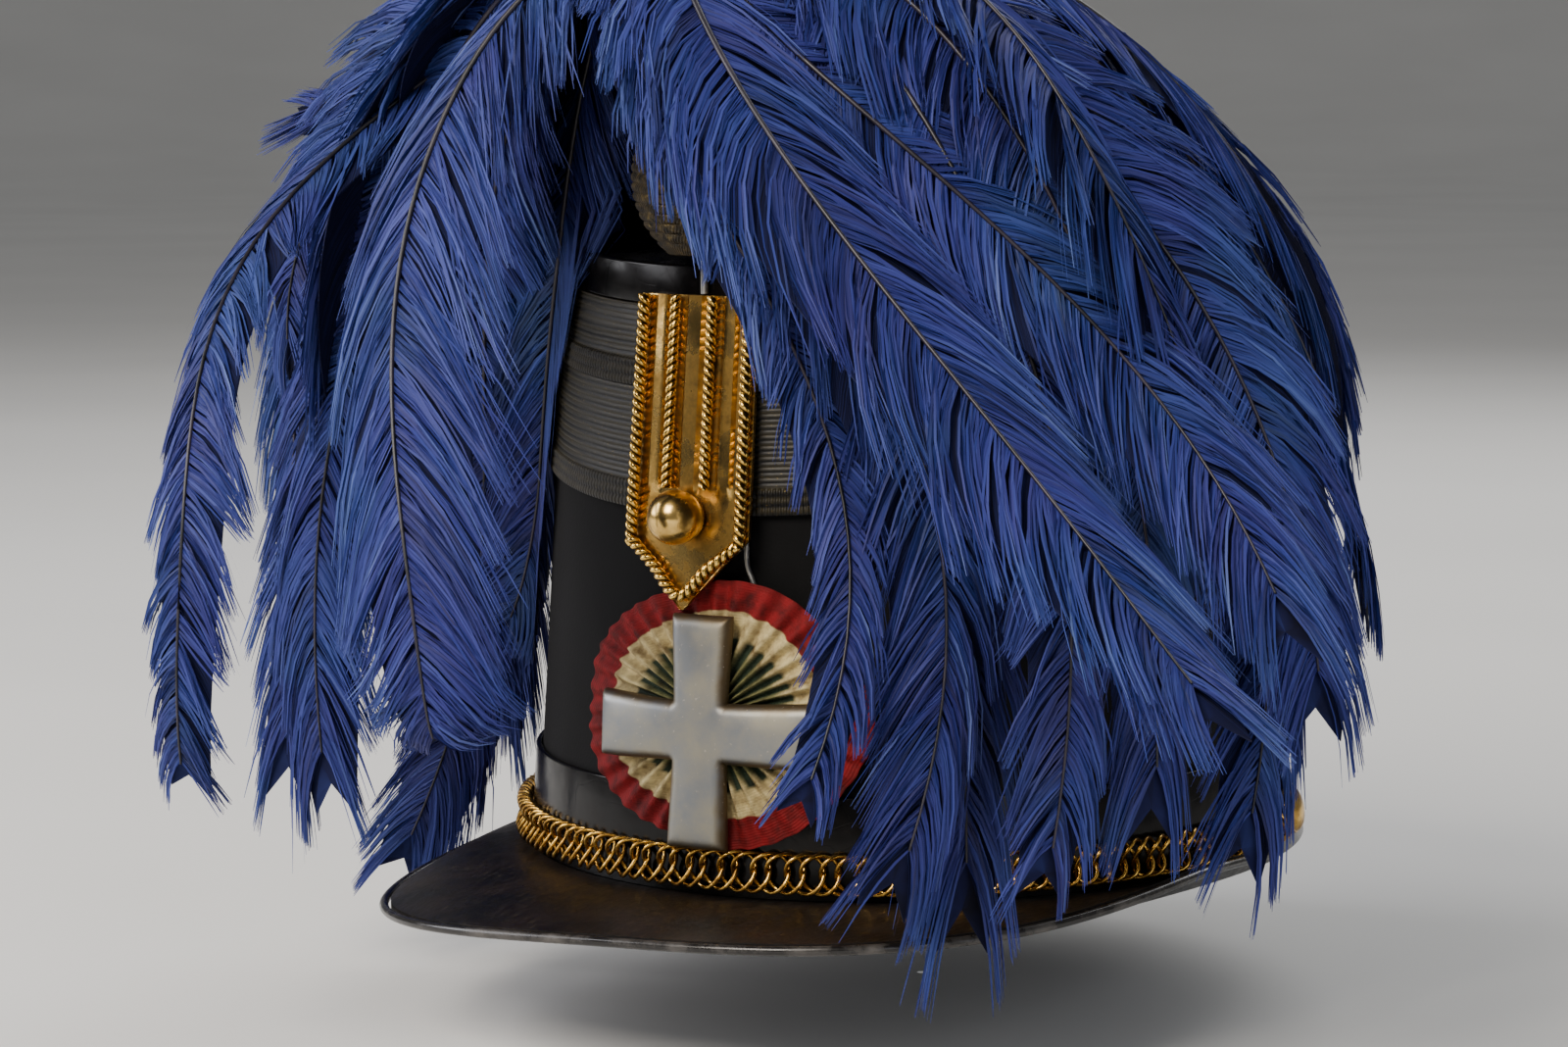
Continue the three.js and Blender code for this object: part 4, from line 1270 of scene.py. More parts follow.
@dataclass
class LoopPlate:
    """The pointed gilt plate with its bars, twisted wires and ball."""

    form: ShakoForm = FORM
    width: float = 30 * MM
    thick: float = 1 * MM
    relief: float = 0.8 * MM
    top: float = 138 * MM
    shoulder: float = 83.5 * MM
    tip: float = 67 * MM
    relief_end: float = 96 * MM
    back: float = 2.0 * MM
    lean: float = 2.9 / 64.4
    border_radius: float = 1.45 * MM
    inner_radius: float = 1.3 * MM
    inner_spacing: float = 9.4 * MM
    strand_pitch: float = 4.0 * MM
    ball_radius: float = 6.3 * MM
    ball_height: float = 88 * MM
    ball_sink: float = 2.1 * MM
    border_inset: float = 0.2 * MM
    rim_relief: float = 0.35 * MM
    bars: tuple[tuple[float, float], ...] = ((-0.72, -0.46), (-0.16, 0.16), (0.46, 0.72))
    bar_edge: float = 0.05
    bar_fade: float = 4 * MM

    def face(self, side: np.ndarray, height: np.ndarray, offset: np.ndarray) -> np.ndarray:
        """The shell's face leaning out downwards by a share of the way from the plate's top.

        Args:
            side: distance towards +X.
            height: height over the base rim.
            offset: distance out from the leaning face.

        Returns:
            Points with a last axis of three.
        """
        return self.form.front(side, height, offset + self.lean * (self.top - np.asarray(height)))

    def plate(self) -> bpy.types.Object:
        """The plate: bars are smooth steps across it, faded out towards the ball, on a flat pointed field.

        Returns:
            The plate.
        """
        height = np.concatenate([np.linspace(self.top, self.shoulder, 60),
                                 np.linspace(self.shoulder, self.tip, 16)[1:]])
        height[-1] += 0.4 * MM
        half = 0.5 * self.width * np.clip((height - self.tip) / (self.shoulder - self.tip), 0.02, 1)
        across = np.linspace(-1, 1, 73)
        bars = np.zeros_like(across)
        for low, high in self.bars:
            bars += smooth((across - low) / self.bar_edge) * smooth((high - across) / self.bar_edge)
        fade = smooth((height - self.relief_end + self.bar_fade) / self.bar_fade)
        rim = self.rim_relief * smooth((np.abs(across) - 0.9) / 0.08)
        front = self.back + self.thick + self.relief * bars[None] * fade[:, None] + rim[None]
        face = self.face(across * half[:, None], height[:, None], front)
        rear = self.face(across[::-1] * half[:, None], height[:, None], self.back)
        return skin("loop_plate_gilt", np.concatenate([face, rear], axis=1), crease=30)

    def rope(self, name: str, route: np.ndarray, radius: float, wound: int) -> bpy.types.Object:
        """Two strands twisted: the radius is least at right angles to the strands, which turn with the run.

        Args:
            name: the piece's name.
            route: the middle line.
            radius: the wire's greatest radius.
            wound: the way of the twist, 1 or -1.

        Returns:
            The wire, its UV's first number 1 on the strands and 0 in the grooves.
        """
        run = run_along(route)
        sides = 14
        angle = circle(sides, closed=True)
        lobe = np.abs(np.cos(angle[None] - wound * 2 * np.pi * run[:, None] / self.strand_pitch))
        size = radius * (0.56 + 0.44 * lobe ** 0.8)
        uv = np.stack([lobe, np.broadcast_to(run[:, None] * 100, lobe.shape)], -1)
        rows = tube_rows(route, size[:, :-1], sides, np.array([0.0, -1.0, 0.0]))
        return skin(name, rows, uv, crease=70)

    def build(self) -> None:
        """Makes and dresses the plate, its wires and the ball."""
        place(self.plate(), GILT, Slot.GILT, "loop_plate")
        offset = self.back + self.thick + self.form.seat + self.border_radius
        inset = self.border_radius + self.border_inset
        side = self.width / 2 - inset
        foot = self.tip + 2.2 * inset
        left = np.array([(-side, self.top), (-side, mix(self.top, self.shoulder, 0.5)),
                         (-side, self.shoulder + 1 * MM), (-0.93 * side, self.shoulder - 1.5 * MM),
                         (-0.5 * side, mix(self.shoulder, foot, 0.5))])
        both = np.vstack([left, [[0.0, foot]], left[::-1] * [-1, 1]])
        route = flow(self.face(both[:, 0], both[:, 1], offset), 800)
        place(self.rope("plate_border_wire", route, self.border_radius, 1), GILT_WIRE, Slot.WIRE, "plate_border")
        depth = self.back + self.thick + self.form.seat + self.inner_radius
        low = self.ball_height + self.ball_radius + self.form.seat
        for hand, word in ((Hand.LEFT, "left"), (Hand.RIGHT, "right")):
            height = np.linspace(self.top, low, 5)
            route = flow(self.face(np.full(5, hand.value * self.inner_spacing / 2), height, depth), 220)
            wire = self.rope(f"plate_wire_{word}_rope", route, self.inner_radius, hand.value)
            place(wire, GILT_WIRE, Slot.WIRE, f"plate_wire_{word}")
        start = np.arccos((self.ball_radius - self.ball_sink) / self.ball_radius)
        rise = np.linspace(start, np.pi * 0.985, 26)
        ball = np.stack([self.ball_radius * np.sin(rise),
                         self.ball_radius - self.ball_sink - self.ball_radius * np.cos(rise)], -1)
        ball[0] = [ball[0, 0] + 0.5 * MM, 0.0]
        ball[1] = [ball[1, 0] + 0.4 * MM, 0.5 * MM]
        axes = self.form.axes(np.array(0.0), self.ball_height)
        lift = self.back + self.thick + self.lean * (self.top - self.ball_height) + 2 * self.form.seat
        origin = self.form.face(np.array(0.0), self.ball_height, 0.0) + axes[2] * lift
        place(skin("ball_button_gilt", lathe(ball, 48, origin, axes)), GILT, Slot.GILT, "ball_button")


@dataclass
class Rosette:
    """The pleated ribbon rosette and the wire hook beside it."""

    form: ShakoForm = FORM
    half_width: float = 35 * MM
    half_height: float = 30 * MM
    side: float = 6 * MM
    height: float = 43.6 * MM
    thick: float = 0.5 * MM
    offset: float = 3.3 * MM
    pleats: int = 38
    depth: float = 0.9 * MM
    flat_width: float = 31 * MM
    flat_length: float = 0.168
    inner_share: float = 0.12
    hook_radius: float = 0.62 * MM
    hook_offset: float = 1.0 * MM

    def ribbon(self) -> bpy.types.Object:
        """The ribbon gathered to its middle: sine pleats that deepen outwards and bend a little on the way.

        Returns:
            The ribbon, with a UV of fold and share outwards.
        """
        steps = self.pleats * 10
        angle = circle(steps, closed=True)[None]
        share = np.linspace(self.inner_share, 1, 26)[:, None]
        waver = 1 + 0.025 * np.sin(3 * angle + 0.6) + 0.02 * np.sin(5 * angle)
        bend = 2.6 * np.sin(2 * angle + 1) * (1 - share) ** 2 + 0.5 * np.sin(7 * angle) + 0.4 * np.sin(11 * angle)
        wave = np.sin(self.pleats * angle + bend)
        fold = self.depth * np.interp(share, [self.inner_share, 0.25, 0.6, 1], [0.3, 0.9, 1.1, 0.42]) * wave
        curl = 0.25 * MM * np.sin(9 * angle) * smooth((share - 0.7) / 0.3)
        reach = share * waver * (1 + 0.004 * wave * smooth((share - 0.8) / 0.2))
        side = self.side + self.half_width * reach * np.sin(angle)
        height = self.height + self.half_height * reach * np.cos(angle)
        face = self.form.front(side, height, self.offset + fold + curl + self.thick / 2)[:, :-1]
        rear = self.form.front(side, height, self.offset + fold + curl - self.thick / 2)[::-1, :-1]
        uv = np.stack(np.broadcast_arrays(0.5 + 0.5 * wave, share), -1)
        points = np.concatenate([face, rear])
        full = np.concatenate([uv, uv[::-1], uv[:1]])
        return skin("cockade_ribbon", points, full, wrap_rows=True, crease=80)

    def hook(self) -> bpy.types.Object:
        """A thin wire out of the lace, bowed to the side and down behind the ribbon.

        Returns:
            The wire.
        """
        side = np.array([13, 13, 15.5, 8]) * MM
        height = np.array([87, 78.25, 67.75, 52]) * MM
        route = flow(self.form.front(side, height, self.hook_offset), 60)
        rows = tube_rows(route, self.hook_radius, 10, np.array([0.0, -1.0, 0.0]))
        return skin("hook_wire_tinned", rows, np.zeros((60, 11, 2)))

    def build(self) -> None:
        """Makes and dresses both pieces."""
        ribbon = place(self.ribbon(), PleatedRibbon(), Slot.RIBBON, "cockade")
        place(self.hook(), BRIGHT_WIRE, Slot.WHITE, "hook_wire")


@dataclass
class CrossBadge:
    """A plain cross with swelling faces and soft edges, bent to the shell."""

    form: ShakoForm = FORM
    width: float = 52 * MM
    height: float = 53 * MM
    upright: float = 12.8 * MM
    upright_end: float = 14.2 * MM
    level: float = 13.8 * MM
    level_end: float = 15.2 * MM
    thick: float = 3.2 * MM
    edge: float = 2.4 * MM
    swell: float = 0.4 * MM
    side: float = 5 * MM
    middle: float = 40 * MM
    back: float = 5.5 * MM

    def line(self, half: float, reach: float) -> np.ndarray:
        """Places along one axis, closer together at both sides of an arm and at its ends.

        Args:
            half: half the width of the arm that the axis crosses.
            reach: half the badge's size along the axis.

        Returns:
            The places in rising order.
        """
        ease = np.sin(np.linspace(-np.pi / 2, np.pi / 2, 23)) * half
        arm = half + (reach - half) * (1 - np.cos(np.linspace(0, np.pi, 25))) / 2
        return np.concatenate([-arm[:0:-1], ease, arm[1:]])

    def build(self) -> None:
        """Makes the cross from two grids, front and back, that meet at the edge.

        Inside each arm the depth follows a quarter circle of the distance to the nearest edge, and
        at the crossing the distance to the nearest inner corner.
        """
        half_u, half_v, end_u, end_v = self.upright / 2, self.level / 2, self.width / 2, self.height / 2
        u, v = np.meshgrid(self.line(half_u, end_u), self.line(half_v, end_v), indexing="ij")
        count = u.shape[0]
        climb = smooth((np.abs(v) - half_v) / (end_v - half_v))
        aside = smooth((np.abs(u) - half_u) / (end_u - half_u))
        wide = half_u + (self.upright_end / 2 - half_u) * climb
        tall = half_v + (self.level_end / 2 - half_v) * aside
        upright = np.abs(u) <= half_u + 1e-9
        level = np.abs(v) <= half_v + 1e-9
        x = np.where(upright, u * wide / half_u, u)
        y = np.where(level, v * tall / half_v, v)
        to_side = np.minimum(wide - np.abs(x), end_v - np.abs(y))
        to_end = np.minimum(tall - np.abs(y), end_u - np.abs(x))
        inside = np.where(upright & level, np.hypot(half_u - np.abs(x), half_v - np.abs(y)),
                          np.maximum(to_side, to_end))
        rise = np.clip(inside / self.edge, 0, 1)
        swell = self.swell * smooth(inside / (half_u * 0.95))
        depth = (self.thick - self.swell) * np.sqrt(np.clip(1 - (1 - rise) ** 2, 0, 1)) + swell
        keep = upright | level
        faces, _, _ = grid_faces(count, count, False, False)
        faces = faces[keep.ravel()[faces].all(axis=1)]
        cell_u = u.ravel()[faces].mean(axis=1)
        cell_v = v.ravel()[faces].mean(axis=1)
        faces = faces[(np.abs(cell_u) < half_u) | (np.abs(cell_v) < half_v)]
        front = self.form.front(self.side + x, self.middle + y, self.back + depth).reshape(-1, 3)
        rear = self.form.front(self.side + x, self.middle + y, np.full_like(x, self.back)).reshape(-1, 3)
        points = np.concatenate([front, rear])
        both = np.concatenate([faces, faces[:, ::-1] + count * count])
        # The first UV number is 1 at the edges: there the white metal gets its stain and painted shade of the bevels.
        stain_and_edge_shade = np.stack([1 - rise, depth * 100], -1).reshape(-1, 2)
        uv = np.concatenate([stain_and_edge_shade, stain_and_edge_shade])[both].reshape(-1, 2)
        piece = mesh_piece("cross_badge", points, both, uv)
        work = bmesh.new()
        work.from_mesh(piece.data)
        bmesh.ops.delete(work, geom=[vert for vert in work.verts if not vert.link_faces], context="VERTS")
        work.to_mesh(piece.data)
        work.free()
        place(tidy_mesh(piece, 50), SILVERED, Slot.WHITE, "cross")


@dataclass
class PlumeHolder:
    """The wound olive on its prong."""

    form: ShakoForm = FORM
    radius: float = 16.4 * MM
    height: float = 41 * MM
    foot: float = 147.2 * MM
    side: float = 1.5 * MM
    prong_radius: float = 0.9 * MM
    prong_offset: float = 2.9 * MM
    prong_low: float = 138.3 * MM
    prong_high: float = 146.9 * MM
    turn_pitch: float = 2.2 * MM
    turn_relief: float = 0.75 * MM

    def build(self) -> None:
        """Makes the egg, its radius rounded over each turn of one long helix, and the plain prong."""
        rows, sides = 150, 72
        share = np.linspace(0, 1, rows)[:, None]
        angle = circle(sides, closed=True)[None]
        egg = np.sin(np.pi * mix(0.13, 0.94, share ** 0.9)) ** 0.8
        phase = share * self.height / self.turn_pitch + angle / (2 * np.pi)
        turn = np.sqrt(np.clip(1 - (2 * (phase % 1) - 1) ** 2, 0, 1))
        radius = self.radius * egg - self.turn_relief * (1 - turn) * smooth(share / 0.06) * smooth((1 - share) / 0.06)
        middle = self.form.front(self.side, self.form.front_height, self.prong_offset)
        points = np.stack([middle[0] + radius * np.cos(angle), middle[1] + radius * np.sin(angle),
                           np.broadcast_to(self.foot + share * self.height, radius.shape)], -1)
        run = np.stack(np.broadcast_arrays(angle * self.radius * 100, share * self.height * 100), -1)
        place(skin("olive_wound", points[:, :-1], run, crease=70), WoundLace(), Slot.WOUND, "olive")
        path = np.linspace([*middle[:2], self.prong_low], [*middle[:2], self.prong_high], 8)
        rows = tube_rows(path, self.prong_radius, 16, np.array([0.0, -1.0, 0.0]))
        place(skin("plume_prong_pin", rows, np.zeros((8, 17, 2))), BRIGHT_WIRE, Slot.GILT, "plume_prong")


@dataclass(frozen=True)
class Feather:
    """One feather: angles in degrees from the front towards +X, the rest shares of the plume's sizes.

    The tone says how much paler than the rest it is, the roll how far its vane turns about the
    quill from root to tip, and the rise how many millimetres it lies over its line at the middle.
    """

    bearing: float
    turn: float
    sway: float
    bulge: float
    tip: float
    shoulder: float
    fall: float
    width: float
    tone: float = 0.0
    roll: float = 0.0
    rise: float = 0.0


# The feathers that show at the front and sides. Columns: bearing, turn, sway, bulge, tip, shoulder,
# fall, width, tone, roll and rise.
FRONT_LEFT = (
    Feather(-100.7, 51.3, -23.8, 0.91, 0.71, 0.43, 0.83, 0.66, 0.03, 58),
    Feather(-41.7, 36.3, -9, 0.74, 0.5, 0.95, 0.7, 1.2, 0.06, 14),
    Feather(-105.2, -3.4, 9.6, 0.65, 0.83, 0.62, 0.98, 1, 0.0, 118),
    Feather(-98, 3, -4, 0.8, 0.7, 0.38, 0.9, 1, 0.03, 98),
    Feather(-110, 6, 1, 1.1, 0.94, 0.2, 0.64, 1, 0.02, 105),
    Feather(-91, -4, 1, 0.72, 0.84, 0.3, 0.9, 1, 0.02, 100),
    Feather(-131, 4, 1, 0.92, 0.98, 0.2, 0.9, 1.1, -0.08, 120),
    Feather(-151, 38, -4, 0.88, 1.24, 0.95, 0.14, 1, 0.0, 40),
    Feather(-110.4, -4.5, 3.7, 0.43, 0.54, 0.91, 0.67, 1.1, -0.1, 115),
    Feather(-94.9, -21.2, 5.6, 0.76, 0.66, 0.5, 0.75, 1, -0.05, 120),
    Feather(-109.6, 10.7, -3.5, 0.87, 0.84, 0.42, 0.42, 1, 0.0, 90),
)
FRONT_RIGHT = (
    Feather(37, 28, -5, 0.8, 1.4, 0.75, 0.62, 1.15, 0.06, 0, 7),
    Feather(55, 22, -11, 0.7, 1.24, 0.45, 0.6, 1, 0.03, -20),
    Feather(86, 8, -6, 1, 1.06, 0.35, 0.72, 1, 0.02, -40),
    Feather(37.8, 5.4, -17, 0.55, 0.75, 0.43, 0.79, 0.5, 0.05),
    Feather(54.5, 2.4, -13.9, 0.74, 0.69, 0.43, 0.87, 0.9, -0.02),
)
SIDE_RIGHT = (
    Feather(78, -6, -4, 0.96, 0.8, 0.35, 0.88, 0.7, 0.0, -25),
    Feather(103, -12, -10, 1.08, 0.92, 0.2, 0.9, 0.8, 0.0, -45),
    Feather(82, 0, -3, 0.92, 0.9, 0.15, 0.84, 0.9, -0.05, -30),
    Feather(71, 2, -1, 0.7, 0.66, 0.2, 0.94, 1, -0.06, -20),
)


@dataclass(frozen=True)
class Fan:
    """Feathers spread evenly between two bearings, with the columns of one feather."""

    start: float
    end: float
    count: int
    bulge: float
    tip: float
    shoulder: float
    fall: float
    width: float
    tone: float = 0.0

    def feathers(self) -> tuple[Feather, ...]:
        """The fan's feathers, every second one swayed the other way and a tenth shorter.

        Returns:
            One row for each feather.
        """
        bearings = np.linspace(self.start, self.end, self.count)
        return tuple(
            Feather(float(bearing), 6, 4 * (1 - 2 * (at % 2)), self.bulge, self.tip * (1 - 0.1 * (at % 2)),
                    self.shoulder, self.fall, self.width, self.tone)
            for at, bearing in enumerate(bearings)
        )


REAR_FANS = (Fan(114, 142, 3, 1.02, 1.08, 0.28, 0.66, 1), Fan(152, 206, 5, 1.18, 1.36, 0.16, 0.56, 1),
             Fan(214, 240, 3, 1, 1.16, 0.24, 0.68, 1))
UPPER_FANS = (Fan(86, 104, 2, 0.82, 0.9, 0.12, 0.44, 0.95, 0.02), Fan(118, 226, 7, 0.86, 1.02, 0.1, 0.4, 1),
              Fan(240, 258, 2, 0.66, 0.78, 0.16, 0.46, 1, 0.02))
TOP_FANS = (Fan(76, 256, 8, 0.5, 0.6, 0.05, 0.2, 0.95, 0.02),)


def along_sweep(way: np.ndarray) -> np.ndarray:
    """Share of a barb's sweep at a share w of the way out: 0.68w plus 0.32w squared."""
    return 0.68 * way + 0.32 * way**2


def out_reach(way: np.ndarray) -> np.ndarray:
    """Share of a barb's reach at a share w of the way out: 1.42w less 0.42w squared."""
    return 1.42 * way - 0.42 * way**2


@dataclass
class Plume:
    """Feathers bound to a root over the olive: each a quill, a close vane and free barbs in locks."""

    form: ShakoForm = FORM
    holder: PlumeHolder = field(default_factory=PlumeHolder)
    head: tuple[float, float, float] = (-9 * MM, -98.26 * MM, 211 * MM)
    reach: float = 150 * MM
    drop: float = 240 * MM
    lift: float = 28 * MM
    root: float = 4 * MM
    belly: float = 0.42
    half_width: float = 18 * MM
    tent: float = 0.14
    curl: float = 0.16
    sweep: float = 1.5
    # Real barbs are finer and closer than these, which are drawn coarser so that each one shows.
    barb_pitch: float = 0.32 * MM
    barb_width: float = 0.56 * MM
    coarse: float = 1.6
    lock_length: float = 4.6 * MM
    shaft_end: float = 0.93
    longest: float = 1.03
    vane_share: float = 0.66
    vane_depths: tuple[float, float] = (-1.3 * MM, -1.7 * MM)
    barb_gap: float = 3.4 * MM
    vane_gap: float = 2.8 * MM
    quill_gap: float = 3.8 * MM
    quill_over: float = 0.25 * MM
    quill_radius: float = 1 * MM
    stem_radius: float = 15 * MM
    first_seed: int = 100

    def shaft(self, feather: Feather, share: np.ndarray) -> np.ndarray:
        """The quill's line: cubic curves for the way out and up, while the bearing turns and sways.

        Past the tip the line runs on straight.

        Args:
            feather: the feather's row.
            share: 0 at the root to 1 at the tip.

        Returns:
            Points with a last axis of three.
        """
        past = np.maximum(0, share - 1)[..., None]
        if past.any():
            end = self.shaft(feather, np.ones_like(share))
            before = self.shaft(feather, np.full_like(share, 0.98))
            return self.shaft(feather, np.minimum(share, 1)) + past * (end - before) / 0.02
        rest = 1 - share
        weights = (rest**3, 3 * share * rest**2, 3 * share**2 * rest, share**3)
        down = feather.fall * self.drop
        outs = (self.root, self.belly * feather.bulge * self.reach, feather.bulge * self.reach,
                feather.tip * self.reach)
        rises = (0.0, self.lift, -feather.shoulder * down, -down)
        out = sum(weight * value for weight, value in zip(weights, outs))
        rise = sum(weight * value for weight, value in zip(weights, rises))
        angle = np.radians(feather.bearing + feather.turn * share + feather.sway * np.sin(2 * np.pi * share))
        return np.stack([self.head[0] + out * np.sin(angle), self.head[1] - out * np.cos(angle),
                         self.head[2] + rise], -1)

    def length(self, feather: Feather) -> float:
        """Length of the quill's line.

        Args:
            feather: the feather's row.

        Returns:
            The length from root to tip.
        """
        line = self.shaft(feather, np.linspace(0, 1, 60))
        return float(np.linalg.norm(np.diff(line, axis=0), axis=1).sum())

    def half(self, feather: Feather, share: np.ndarray) -> np.ndarray:
        """Half the vane's width: narrow at the root, full, then round at the tip.

        Args:
            feather: the feather's row.
            share: place along the quill.

        Returns:
            The half width at each place.
        """
        root = 0.35 + 0.65 * smooth(share / 0.16)
        end = np.sqrt(np.clip(1 - (np.maximum(0, share - 0.66) / 0.38) ** 2, 0.02, 1))
        return self.half_width * feather.width * root * end

    def vane(self, feather: Feather, share: np.ndarray, across: np.ndarray, above: np.ndarray) -> np.ndarray:
        """A place on the vane: out from the quill, fallen by a share of the distance and of its square.

        Args:
            feather: the feather's row.
            share: place along the quill.
            across: distance out from the quill, either way.
            above: height over the vane.

        Returns:
            Points with a last axis of three.
        """
        share, across, above = np.broadcast_arrays(share, across, above)
        point = self.shaft(feather, share)
        along = unit(self.shaft(feather, share + 0.01) - point)
        angle = np.radians(feather.bearing + feather.turn * share)
        level = np.stack([np.cos(angle), np.sin(angle), np.zeros_like(angle)], -1)
        flat = unit(level - along * (level * along).sum(-1, keepdims=True))
        roll = np.radians(feather.roll * smooth(share * 1.6))[..., None]
        aside = flat * np.cos(roll) - np.cross(along, flat) * np.sin(roll)
        up = np.cross(along, aside)
        fall = self.tent * np.abs(across) + self.curl * across**2 / (self.half_width * feather.width)
        rise = feather.rise * MM * np.sin(np.pi * np.clip(share, 0, 1))
        return point + aside * across[..., None] + up * (above - fall + rise)[..., None]

    def barbs(self, feather: Feather, rng: np.random.Generator, grain: float) -> tuple[np.ndarray, np.ndarray]:
        """Free barbs as narrow ribbons, swept towards the tip and drawn together in locks.

        Each barb leaves the quill steeply and bends along it. Barbs of one lock share a target, and
        close on it with the square of the way out, so that the vane's edge breaks into points.

        Args:
            feather: the feather's row.
            rng: the seeded source of unevenness.
            grain: how much broader and sparser than the finest the barbs are.

        Returns:
            Points as barbs by stations by two by three, and a UV of tone and run for them.
        """
        length = self.length(feather)
        count = int(length / self.barb_pitch / grain)
        way = np.array([0, 0.2, 0.45, 0.72, 1.0])[None]
        sets, runs = [], []
        for hand in Hand:
            root = np.sort(rng.uniform(0.012, self.shaft_end, count))
            locks = int(length / self.lock_length)
            lock = np.searchsorted(np.sort(rng.uniform(0, self.shaft_end, locks)), root)
            swept = root + self.sweep * self.half(feather, root) * (1 + 0.1 * rng.normal(size=count)) / length
            target = np.bincount(lock, swept, locks + 1) / np.maximum(np.bincount(lock, minlength=locks + 1), 1)
            long = (1 + 0.14 * rng.normal(size=locks + 1))[lock] * (1 + 0.05 * rng.normal(size=count))
            long = np.where(rng.uniform(size=count) < 0.03, long * 1.25, long)
            reach = self.half(feather, np.clip(swept, 0, self.longest)) * np.clip(long, 0.6, 1.4) * hand.value
            rise = (1.2 * MM * rng.normal(size=locks + 1))[lock] + 0.7 * MM * rng.normal(size=count)
            pull = 0.72 * way**2
            share = root[:, None] + (swept - root)[:, None] * along_sweep(way)
            share = share + pull * (target[lock] - swept)[:, None]
            across = reach[:, None] * out_reach(way)
            above = rise[:, None] * way + 0.5 * MM * np.sin(np.pi * way)
            line = self.vane(feather, share, across, above)
            over = unit(self.vane(feather, share, across, above + MM) - line)
            ahead = unit(np.gradient(line, axis=1))
            roll = rng.normal(0, 0.6, (count, 1, 1))
            flat = unit(np.cross(over, ahead))
            side = flat * np.cos(roll) + over * np.sin(roll)
            broad = 0.5 * grain * self.barb_width * np.array([0.8, 1.0, 0.95, 0.75, 0.2])[None, :, None]
            sets.append(np.stack([line - side * broad, line + side * broad], 2))
            tone = 0.37 + feather.tone + (0.08 * rng.normal(size=locks + 1))[lock] + 0.12 * rng.normal(size=count)
            grid = np.stack(np.broadcast_arrays(np.clip(tone, 0.02, 0.9)[:, None], way), -1)
            runs.append(np.repeat(grid[:, :, None], 2, axis=2))
        return self.form.keep_clear(np.concatenate(sets), self.barb_gap), np.concatenate(runs)

    def vane_sheet(self, feather: Feather) -> tuple[np.ndarray, np.ndarray]:
        """The close layer under the free barbs, a thin closed sheet on the barbs' own lines, dressed dark as painted
        shade in the gaps.

        Args:
            feather: the feather's row.

        Returns:
            Points as rows by a closed section by three, and a UV of run and way out.
        """
        length = self.length(feather)
        root = np.linspace(0.01, self.shaft_end, 52)[:, None]
        way = np.linspace(-self.vane_share, self.vane_share, 9)[None]
        swept = root + self.sweep * self.half(feather, root) / length
        out = np.abs(way)
        share = root + (swept - root) * along_sweep(out)
        across = np.sign(way) * self.half(feather, np.clip(swept, 0, self.longest)) * out_reach(out)
        face, rear = (self.vane(feather, share, across, depth) for depth in self.vane_depths)
        points = self.form.keep_clear(np.concatenate([face, rear[:, ::-1]], axis=1), self.vane_gap)
        flat = np.stack(np.broadcast_arrays(root * length * 100, way), -1)
        return points, np.concatenate([flat, flat[:, ::-1], flat[:, :1]], axis=1)

    def quill(self, feather: Feather) -> np.ndarray:
        """The quill: a round line that thins to its end.

        Args:
            feather: the feather's row.

        Returns:
            Points as stations by sides by three.
        """
        share = np.linspace(0, self.shaft_end, 44)
        radius = np.interp(share, [0, 0.5, 1], [1.0, 0.55, 0.22]) * self.quill_radius
        line = self.form.keep_clear(self.vane(feather, share, 0.0, self.quill_over), self.quill_gap)
        return tube_rows(line, radius, 7, np.array([0.03, 0.02, 1.0]))

    def join(self, name: str, grids: list[np.ndarray], runs: list[np.ndarray] | None, finish: Finish) -> None:
        """Joins grids of one shape, each a closed section carried along, into one piece.

        Args:
            name: the piece's name.
            grids: one array of rows by section by three for each feather.
            runs: the matching UVs with one more column, or None.
            finish: the piece's finish.
        """
        capped = np.stack([with_caps(grid) for grid in grids])
        rows, cols = capped.shape[1:3]
        faces, corner_rows, corner_cols = grid_faces(rows, cols, False, True)
        every = (faces[None] + (np.arange(len(capped)) * rows * cols)[:, None, None]).reshape(-1, 4)
        uv = None
        if runs is not None:
            texture = [np.concatenate([run[:1], run, run[-1:]]) for run in runs]
            uv = np.concatenate([run[corner_rows, corner_cols] for run in texture])
        piece = mesh_piece(name, capped.reshape(-1, 3), every, uv)
        place(tidy_mesh(piece, 60), finish, Slot.FEATHER, "plume")

    def group(self, name: str, feathers: tuple[Feather, ...], seed: int, grain: float) -> None:
        """Makes one group of feathers as barbs, vanes and quills.

        Args:
            name: the group's name.
            feathers: its rows.
            seed: the seed of its unevenness.
            grain: how much broader and sparser than the finest the barbs are.
        """
        rng = np.random.default_rng(seed)
        made = [self.barbs(feather, rng, grain) for feather in feathers]
        points = np.concatenate([grid for grid, _ in made])
        runs = np.concatenate([run for _, run in made])
        count, stations = points.shape[:2]
        start = 2 * (np.arange(count)[:, None] * stations + np.arange(stations - 1)[None])
        faces = np.stack([start, start + 1, start + 3, start + 2], -1).reshape(-1, 4)
        uv = runs.reshape(-1, 2)[faces].reshape(-1, 2)
        place(mesh_piece(f"plume_{name}_barbs", points.reshape(-1, 3), faces, uv), DyedBarb(), Slot.FEATHER, "plume")
        sheets = [self.vane_sheet(feather) for feather in feathers]
        # The vanes' dark finish is painted shade seen between the free barbs.
        self.join(f"plume_{name}_vanes", [grid for grid, _ in sheets], [run for _, run in sheets], ShadedVane())
        self.join(f"plume_{name}_quills", [self.quill(feather) for feather in feathers], None, Quill())

